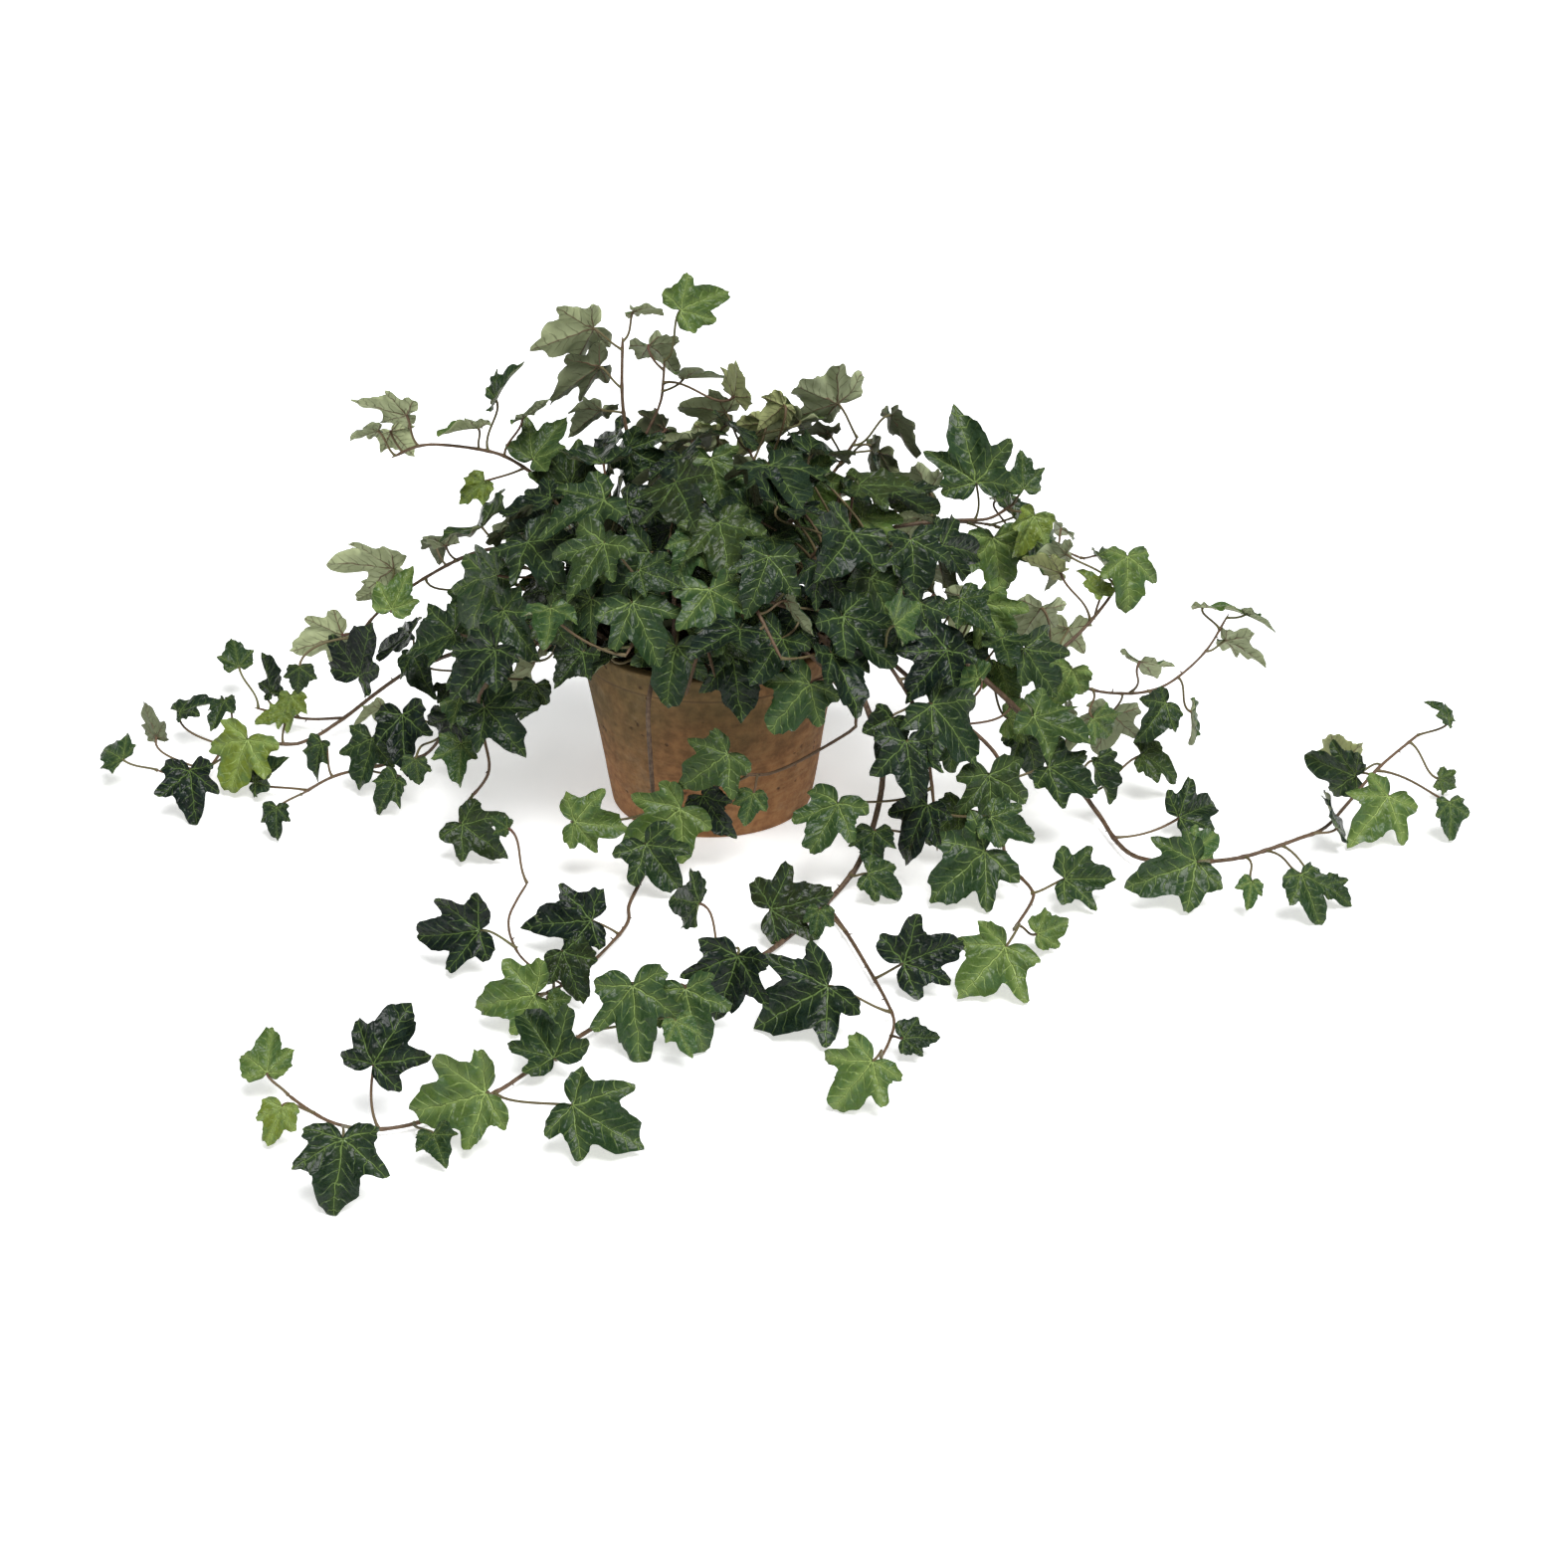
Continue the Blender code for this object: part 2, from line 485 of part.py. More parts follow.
class Leaf:
    """A blade's place and pose, and its stalk's curve from the stem."""

    def __init__(self, base, length, turn, facing, slope):
        self.base, self.length = base, length
        lean, tilt, swing = math.radians(facing), math.radians(slope), math.radians(turn)
        toward = Vector((math.sin(lean), -math.cos(lean), 0))
        downhill = toward * math.cos(tilt) - Vector((0, 0, math.sin(tilt)))
        self.normal = toward * math.sin(tilt) + Vector((0, 0, math.cos(tilt)))
        side = Vector((-toward.y, toward.x, 0))
        self.tip_way = downhill * math.cos(swing) + side * math.sin(swing)
        self.across = self.tip_way.cross(self.normal)

    def place(self, u, v, w):
        return self.base + (self.across * u + self.tip_way * v + self.normal * w) * self.length

    def outline(self):
        half = THREE_LOBES if self.length < SMALL_LEAF * MM else FIVE_LOBES
        return [*half, TIP, *[(-u, v, w) for u, v, w in reversed(half)]]

    def lowest(self):
        return min(self.place(*p).z for p in self.outline()) - BLADE_THICKNESS

    def attach(self, stem, s):
        """Curves the stalk out of the stem and up to the blade from behind and below."""
        self.stem, self.s = stem, s
        root = stem.point(s)
        along = stem.along(s)
        reach = (self.base - root).length
        out = self.base - root
        out = (out - along * out.dot(along)).normalized()
        arrive = (self.tip_way * 0.45 + self.normal * 0.6).normalized()
        knee = root + (out + along * 0.5).normalized() * reach * 0.38
        knee.z = max(knee.z, 0.003)
        behind = self.base - arrive * reach * 0.33
        behind.z = max(behind.z, 0.003)
        self.stalk = (root, knee, behind, self.base)

    def stalk_point(self, t):
        return bezier(*self.stalk, t)

    def stalk_tubes(self, slack, start, end):
        """The stalk as its curve and as its two straight halves, between two shares of its length."""
        reach = end - start
        curve = [self.stalk_point(start + reach * i / 5) for i in range(6)]
        root, middle = self.stalk_point(0), self.stalk_point(0.5)
        bent = [root.lerp(middle, 2 * start), middle, middle.lerp(self.base, 2 * end - 1)]
        return [tube_tree(line, [STALK_RADIUS + slack] * len(line)) for line in (curve, bent)]

    def pierces_itself(self):
        """Whether the stalk comes from above the blade, or cuts into it on its way."""
        if (self.stalk_point(0.5) - self.base).normalized().dot(self.normal) > LOWEST_RISE:
            return True
        blade = BVHTree.FromPolygons(*self.blade(0.0003))
        tubes = self.stalk_tubes(0.0003, 0, 0.86)
        return any(blade.overlap(BVHTree.FromPolygons(*tube)) for tube in tubes)

    def surface(self, slack, start):
        """The blade and the stalk from a share of its length, with a margin, to test against."""
        verts, faces = self.blade(slack)
        for tube, quads in self.stalk_tubes(slack, start, 1):
            faces += [tuple(k + len(verts) for k in f) for f in quads]
            verts += tube
        return verts, faces

    def blade(self, slack):
        """The blade's top, underside and edge, with a margin."""
        rim = self.outline()
        grow = 1 + slack / self.length
        top = [self.place(u * grow, v * grow, w) + self.normal * slack for u, v, w in rim]
        low = [self.place(u * grow, v * grow, w) - self.normal * (slack + BLADE_THICKNESS) for u, v, w in rim]
        n = len(rim)
        verts = [self.base + self.normal * slack, self.base - self.normal * (slack + BLADE_THICKNESS), *top, *low]
        faces = []
        for i in range(n):
            j = (i + 1) % n
            if i < n - 1:
                faces += [(0, 2 + i, 2 + j), (1, 2 + n + i, 2 + n + j)]
            faces.append((2 + i, 2 + j, 2 + n + j, 2 + n + i))
        return verts, faces


class Obstacles:
    """What has been placed already, for a new leaf to miss."""

    def __init__(self):
        self.items = []

    def add(self, verts, faces, owner=None):
        low = Vector([min(v[k] for v in verts) for k in range(3)])
        high = Vector([max(v[k] for v in verts) for k in range(3)])
        self.items.append((low, high, BVHTree.FromPolygons(verts, faces), owner))

    def hit(self, verts, faces, but_for=None):
        """Whether a surface meets anything placed, but for what the given stem owns."""
        low = [min(v[k] for v in verts) for k in range(3)]
        high = [max(v[k] for v in verts) for k in range(3)]
        tree = None
        for other_low, other_high, other, owner in self.items:
            if owner is not None and owner is but_for:
                continue
            if all(low[k] <= other_high[k] and high[k] >= other_low[k] for k in range(3)):
                tree = tree or BVHTree.FromPolygons(verts, faces)
                if tree.overlap(other):
                    return True
        return False


def stem_tube(stem, start, slack):
    """A stem's surface from a distance along it, with a margin, to test against."""
    spots = [start, *[s for s in stem.at if s > start + 0.001]]
    return tube_tree([stem.point(s) for s in spots], [stem.radius(s) + slack for s in spots])


def grow_stem(route, thick, thin, obstacles, seed, parent=None):
    """A stem along a route, bent a little where that keeps it clear of the pot and of other stems."""
    rng = random.Random(seed)
    for k in range(TRIES):
        play = 12 * k / TRIES
        bent = [Vector(p) for p in route]
        for p in bent[1:]:
            p += Vector((rng.gauss(0, play), rng.gauss(0, play), abs(rng.gauss(0, play))))
        stem = Stem(bent, thick, thin, SHOOT_CLEAR if parent else 0)
        own = obstacles.hit(*stem_tube(stem, SHOOT_CLEAR, STEM_GAP))
        if not own and (parent is None or not obstacles.hit(*stem_tube(stem, 0, STEM_GAP), parent)):
            break
    else:
        print("no clear way for", seed)
    obstacles.add(*stem_tube(stem, 0, 0), stem)
    return stem


def best_node(stems, base, length):
    """The free place on the stems whose distance suits the leaf's stalk best."""
    best = None
    for stem in stems:
        steps = int(stem.length / 0.003)
        for i in range(1, steps):
            s = stem.length * i / steps
            if not stem.free(s):
                continue
            gap = (stem.point(s) - base).length
            cost = abs(gap - 0.55 * length) + (0.02 if stem.point(s).z > base.z + 0.01 else 0)
            if gap > 0.25 * length and (best is None or cost < best[0]):
                best = (cost, stem, s)
    return best


def grow_leaf(want, stems, obstacles, seed):
    """Places one leaf as near as it can to what is wanted, clear of everything placed before, or not at all."""
    x, y, z, length, turn, facing, slope = want
    rng = random.Random(seed)
    for k in range(TRIES):
        play = k / TRIES
        pose = (
            turn + rng.gauss(0, 5 + 30 * play),
            facing + rng.gauss(0, 8 + 30 * play),
            min(max(slope + rng.gauss(0, 6 + 22 * play), 4), 88),
        )
        base = Vector((x, y, 0 if z is None else z)) * MM
        base += Vector([rng.gauss(0, 0.001 + 0.014 * play) for _ in range(3)])
        leaf = Leaf(base, length * MM * (1 - 0.25 * play), *pose)
        if z is None:
            leaf.base.z = 0
            leaf.base.z = -leaf.lowest() + FLOOR_LIFT + abs(rng.gauss(0, 0.002 + 0.02 * play))
        found = best_node(stems, leaf.base, leaf.length)
        if found is None or found[0] > LONGEST_STRETCH or leaf.lowest() < FLOOR_LIFT:
            continue
        stem, s = found[1:]
        leaf.attach(stem, s)
        if leaf.pierces_itself() or obstacles.hit(*leaf.surface(0.0005, 0), stem):
            continue
        if not obstacles.hit(*leaf.surface(0.0005, STALK_CLEAR)):
            stem.nodes[s] = leaf
            obstacles.add(*leaf.surface(0, 0))
            return leaf
    return None


# ---------------------------------------------------------------- where every leaf is wanted


def crown_routes():
    """Short shoots from the soil, each up through the crown and out over the rim."""
    routes = {}
    for i in range(CROWN_SHOOTS):
        angle = 2 * math.pi * (i * 0.618034 + 0.11)
        out = Vector((math.cos(angle), math.sin(angle), 0))
        root = 20 + 34 * ((i * 7) % CROWN_SHOOTS) / CROWN_SHOOTS
        high = 158 + 34 * ((i * 5) % CROWN_SHOOTS) / CROWN_SHOOTS
        reach = 108 + 34 * ((i * 3) % 5) / 5
        side = Vector((-out.y, out.x, 0)) * (12 if i % 2 else -12)
        routes[f"crown_shoot_{i + 1:02d}"] = [
            out * root + Vector((0, 0, 111)),
            out * (root + 10) + side * 0.6 + Vector((0, 0, 136)),
            out * (0.55 * reach + 8) + side + Vector((0, 0, high)),
            out * reach + side * 0.4 + Vector((0, 0, high - 34)),
        ]
    return routes


def crown_leaves():
    """The dome's leaves, evenly spread by the golden angle, with their tips hanging outward."""
    for share, count, length, lowest in CROWN_LAYERS:
        for i in range(count):
            polar = math.acos(1 - (i + 0.5) / count * (1 - math.cos(math.radians(lowest))))
            around = i * 2.399963 + share * 5
            way = Vector((math.sin(polar) * math.sin(around), -math.sin(polar) * math.cos(around), math.cos(polar)))
            spot = CROWN_CENTRE + Vector([way[k] * CROWN_REACH[k] * share for k in range(3)])
            if spot.y < FRONT_EDGE and spot.z < FRONT_LOWEST - 20 * (1 - share):
                continue
            slope = 16 + 0.48 * math.degrees(polar)
            turn = 72 * math.sin(i * 2.1 + share)
            size = length * (0.78 + 0.30 * math.sin(i * 1.7) ** 2)
            facing = toward_light(spot.x, spot.y) + 40 * math.sin(i * 3.3 + share)
            yield spot.x, spot.y, spot.z, size, turn, facing, slope + 22 * math.sin(i * 4.7)


def toward_light(x, y):
    """Which way a leaf's upper side leans: away from the pot, and toward the front where it grows at a side."""
    away = math.degrees(math.atan2(x, -y))
    return away * (0.55 + 0.45 * (away / 180) ** 2)


def wanted_leaves(vine, stems):
    """A vine's own leaves as (x, y, z, length, turn, facing, slope)."""
    for row in vine.get("leaves", []):
        x, y, z, length, turn = row[:5] if len(row) > 4 else (*row[:2], None, *row[2:])
        facing = toward_light(x, y) if vine["facing"] is None else vine["facing"]
        slope = vine["slope"]
        if len(row) == 7:
            facing, slope = row[5:]
        yield x, y, z, length, turn, facing, slope
    for route, start, end, spacing, first, last in vine.get("fill", []):
        stem = stems[route]
        count = max(1, round(stem.length * (end - start) / (spacing * MM)))
        for i in range(count):
            share = (i + 0.5) / count
            s = stem.length * (start + (end - start) * share)
            length = (first + (last - first) * share) * (1 + 0.16 * math.sin(3.7 * i + stem.length * 40))
            way = stem.along(s)
            side = Vector((-way.y, way.x, 0)).normalized() * (1 if i % 2 else -1)
            rise = 0.25 + 0.3 * math.sin(2.3 * i)
            spot = stem.point(s) / MM + (side * 0.55 + way * 0.3 + Vector((0, 0, rise))) * length
            facing = toward_light(spot.x, spot.y) if vine["facing"] is None else vine["facing"]
            facing += 34 * math.sin(2.9 * i + 1)
            turn = 55 * math.sin(1.9 * i + stem.length * 60)
            yield spot.x, spot.y, spot.z, length, turn, facing, vine["slope"] + 14 * math.sin(4.1 * i)


def grow_plant(pot_and_soil):
    """All stems, then all leaves: returns each vine's list of stems, whose nodes hold its leaves and side shoots."""
    obstacles = Obstacles()
    for verts, faces in pot_and_soil:
        obstacles.add(verts, faces)
    plant = {}
    routes = {name: vine["routes"] for name, vine in VINES.items()}
    routes |= {name: [route] for name, route in crown_routes().items()}
    for name, lines in routes.items():
        thick = VINES.get(name, {"thick": 2.6})["thick"] * MM / 2
        main = grow_stem(lines[0], thick, 0.0008, obstacles, name)
        stems = [main]
        for line in lines[1:]:
            start = Vector(line[0]) * MM
            spots = [main.length * i / 400 for i in range(8, 392)]
            s = min(spots, key=lambda s: (main.point(s) - start).length)
            start = main.point(s) / MM
            thick = main.radius(s) * 0.8
            shoot = grow_stem([start, *line[1:]], thick, 0.0007, obstacles, f"{name} {s:.3f}", main)
            main.nodes[s] = shoot
            stems.append(shoot)
        plant[name] = stems
    for name, vine in VINES.items():
        for i, want in enumerate(wanted_leaves(vine, plant[name])):
            grow_leaf(want, plant[name], obstacles, f"{name} {i}")
    crown = [stem for name, stems in plant.items() if name not in VINES for stem in stems]
    for i, want in enumerate(crown_leaves()):
        grow_leaf(want, crown, obstacles, f"crown {i}")
    return plant


# ---------------------------------------------------------------- from plant to mesh


def add_leaf(bm, opening, leaf):
    """Draws the stalk out of four corners of the stem, and opens its end into the blade's underside."""
    middle = leaf.stalk_point(0.5)
    along = (leaf.stalk_point(0.6) - leaf.stalk_point(0.4)).normalized()
    neck = match(opening, ring(middle, along, leaf.across, STALK_RADIUS * 1.3, 4))
    neck = bridge(bm, opening, neck)
    down = leaf.normal * BLADE_THICKNESS
    across, tip_way = leaf.across * STALK_RADIUS, leaf.tip_way * STALK_RADIUS
    corners = [leaf.base - down + way for way in (across, tip_way, -across, -tip_way)]
    matched = match(neck, corners)
    mouth = bridge(bm, neck, matched)
    right, front, left, notch_low = [mouth[matched.index(c)] for c in corners]
    notch = bm.verts.new(notch_low.co + down)
    top = [bm.verts.new(leaf.place(*p)) for p in leaf.outline()]
    low = [bm.verts.new(v.co - down) for v in top]
    n = len(top)
    tip = n // 2
    for i in range(n - 1):
        bm.faces.new((notch, top[i], top[i + 1]))
        bm.faces.new((right if i < tip else left, low[i], low[i + 1]))
    bm.faces.new((notch_low, low[0], right))
    bm.faces.new((right, low[tip], front))
    bm.faces.new((front, low[tip], left))
    bm.faces.new((left, low[-1], notch_low))
    upper = [notch, *top, notch]
    lower = [notch_low, *low, notch_low]
    for i in range(n + 1):
        bm.faces.new((upper[i], upper[i + 1], lower[i + 1], lower[i]))


def match(opening, corners):
    """The corners, turned round their loop so that each faces its own corner of the opening."""
    here = [v.co for v in opening]
    mid_a = sum(here, Vector()) / len(here)
    mid_b = sum(corners, Vector()) / len(corners)
    orders = [corners[k:] + corners[:k] for k in range(len(corners))]
    return min(orders, key=lambda o: sum(((p - mid_b) - (q - mid_a)).length for p, q in zip(o, here)))


def bridge(bm, opening, corners):
    """Joins the opening to new corners with quads, and returns the new corners' vertices."""
    new = [bm.verts.new(c) for c in corners]
    for i in range(len(new)):
        j = (i + 1) % len(new)
        bm.faces.new((opening[i], opening[j], new[j], new[i]))
    return new


def add_stem(bm, stem, opening, sides):
    """A tube along the stem past its bare start, from the opening or a closed end, with a window at each node."""
    spots = [s for s in stem.at[1:-1] if s > stem.bare + NODE_GAP / 2]
    spots = [s for s in spots if all(abs(s - node) > NODE_GAP / 2 for node in stem.nodes)]
    spots = sorted([stem.bare, *spots, stem.length, *[n + d for n in stem.nodes for d in (-NODE_HALF, NODE_HALF)]])
    windows = {}
    side = Vector((0, 0, 1)) if abs(stem.along(0).z) < 0.8 else Vector((0, -1, 0))
    last = opening
    for s in spots:
        along = stem.along(s)
        side = (side - along * side.dot(along)).normalized()
        corners = ring(stem.point(s), along, side, stem.radius(s) * 1.2, sides)
        if last is None:
            new = [bm.verts.new(c) for c in corners]
            bm.faces.new(new)
        else:
            new = [bm.verts.new(c) for c in match(last, corners)]
            node = next((n for n in stem.nodes if abs(s - n - NODE_HALF) < 1e-7), None)
            skip = None if node is None else facing_side(last, new, stem, node)
            for k in range(sides):
                j = (k + 1) % sides
                quad = (last[k], last[j], new[j], new[k])
                if k == skip:
                    windows[node] = quad
                else:
                    bm.faces.new(quad)
        last = new
    bm.faces.new(last)
    for node, quad in windows.items():
        branch = stem.nodes[node]
        if isinstance(branch, Leaf):
            add_leaf(bm, list(quad), branch)
        else:
            add_stem(bm, branch, list(quad), 4)


def facing_side(last, new, stem, node):
    """Which side of the stem looks toward what leaves it at this node."""
    branch = stem.nodes[node]
    goal = branch.stalk_point(0.3) if isinstance(branch, Leaf) else branch.point(0.012)
    way = goal - stem.point(node)
    n = len(new)

    def outward(k):
        j = (k + 1) % n
        return (last[k].co + last[j].co + new[j].co + new[k].co) / 4 - stem.point(node)

    return max(range(n), key=lambda k: outward(k).normalized().dot(way))


def surface_of(ob):
    """An object's vertices and faces as built, for a leaf to miss."""
    return [v.co.copy() for v in ob.data.vertices], [tuple(p.vertices) for p in ob.data.polygons]


def main():
    for ob in list(bpy.data.objects):
        bpy.data.objects.remove(ob)
    pot = build_pot()
    soil = build_soil()
    plant = grow_plant([surface_of(pot), surface_of(soil)])
    for i, (name, stems) in enumerate(plant.items()):
        bm = bmesh.new()
        add_stem(bm, stems[0], None, 4)
        shade = 0.85 + 0.3 * (i % 5) / 4
        finish(name, bm, (0.028 * shade, 0.085 * shade, 0.030 * shade), 0.5)


main()
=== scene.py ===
"""Potted ivy, its looks: fine leaves, stems, pot and soil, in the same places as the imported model's nodes.

The vines grow here by the same rules as in the model, so each fine leaf sits where the model's plain one is.
"""

import math
import random

import bmesh
import bpy
import numpy as np
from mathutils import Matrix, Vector, noise
from mathutils.bvhtree import BVHTree


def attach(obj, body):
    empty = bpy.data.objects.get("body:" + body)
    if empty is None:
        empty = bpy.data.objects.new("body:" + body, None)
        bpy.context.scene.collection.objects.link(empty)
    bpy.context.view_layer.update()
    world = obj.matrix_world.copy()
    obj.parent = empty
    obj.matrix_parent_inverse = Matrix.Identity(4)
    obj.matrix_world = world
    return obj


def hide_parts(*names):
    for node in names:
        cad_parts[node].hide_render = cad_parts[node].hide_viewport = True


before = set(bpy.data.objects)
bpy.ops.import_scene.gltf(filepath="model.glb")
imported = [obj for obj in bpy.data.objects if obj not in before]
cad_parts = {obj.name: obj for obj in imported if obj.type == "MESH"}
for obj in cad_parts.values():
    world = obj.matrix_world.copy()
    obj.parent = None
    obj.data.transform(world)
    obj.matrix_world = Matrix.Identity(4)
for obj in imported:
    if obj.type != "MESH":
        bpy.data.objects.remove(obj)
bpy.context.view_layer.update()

MM = 0.001

# ---- the pot and its soil (metres) ----
POT_HEIGHT = 0.128
RIM_RADIUS = 0.090
BASE_RADIUS = 0.069
WALL = 0.008
POT_FLOOR = 0.012
BAND_DEPTH = 0.017  # from the rim down to the step under its band
BAND_STEP = 0.0008
LIP_ROUND = 0.0022
DRAIN_RADIUS = 0.006
DRAIN_REACH = 0.035  # of each drainage hole from the pot's axis
POT_SIDES = 40
SOIL_TOP = 0.110
SOIL_MOUND = 0.003
CLEARANCE = 0.0004

# ---- how ivy grows ----
NODE_HALF = 0.0016  # half the length of stem that a leaf stalk or a side shoot takes
NODE_GAP = 0.0045  # between two nodes' middles
CHORD_ERROR = 0.0009  # how far a stem's straight lengths may leave its smooth curve
LONGEST_CHORD = 0.045
SAMPLE = 0.002
STALK_RADIUS = 0.0007
BLADE_THICKNESS = 0.001
FLOOR_LIFT = 0.0015
STEM_GAP = 0.0008
STALK_CLEAR = 0.2  # the share of a stalk, next to its stem, that may be near that stem
SHOOT_CLEAR = 0.010  # the same for a side shoot and its parent, in metres
LOWEST_RISE = -0.12  # how flat a stalk's outer half may be to the blade it rises to
TRIES = 80
LONGEST_STRETCH = 0.055  # how far a stalk may be from its best length

# A blade's right half from the stalk to the tip, for a blade of length 1: across, along and up.
FIVE_LOBES = [
    (0.18, -0.19, 0.02),
    (0.44, -0.13, 0.05),
    (0.42, 0.12, 0.03),
    (0.55, 0.43, 0.00),
    (0.29, 0.49, 0.03),
]
THREE_LOBES = [(0.30, -0.14, 0.03), (0.48, 0.32, 0.01), (0.25, 0.48, 0.03)]
TIP = (0.0, 1.0, -0.10)
SMALL_LEAF = 36  # blades shorter than this (millimetres) have three lobes

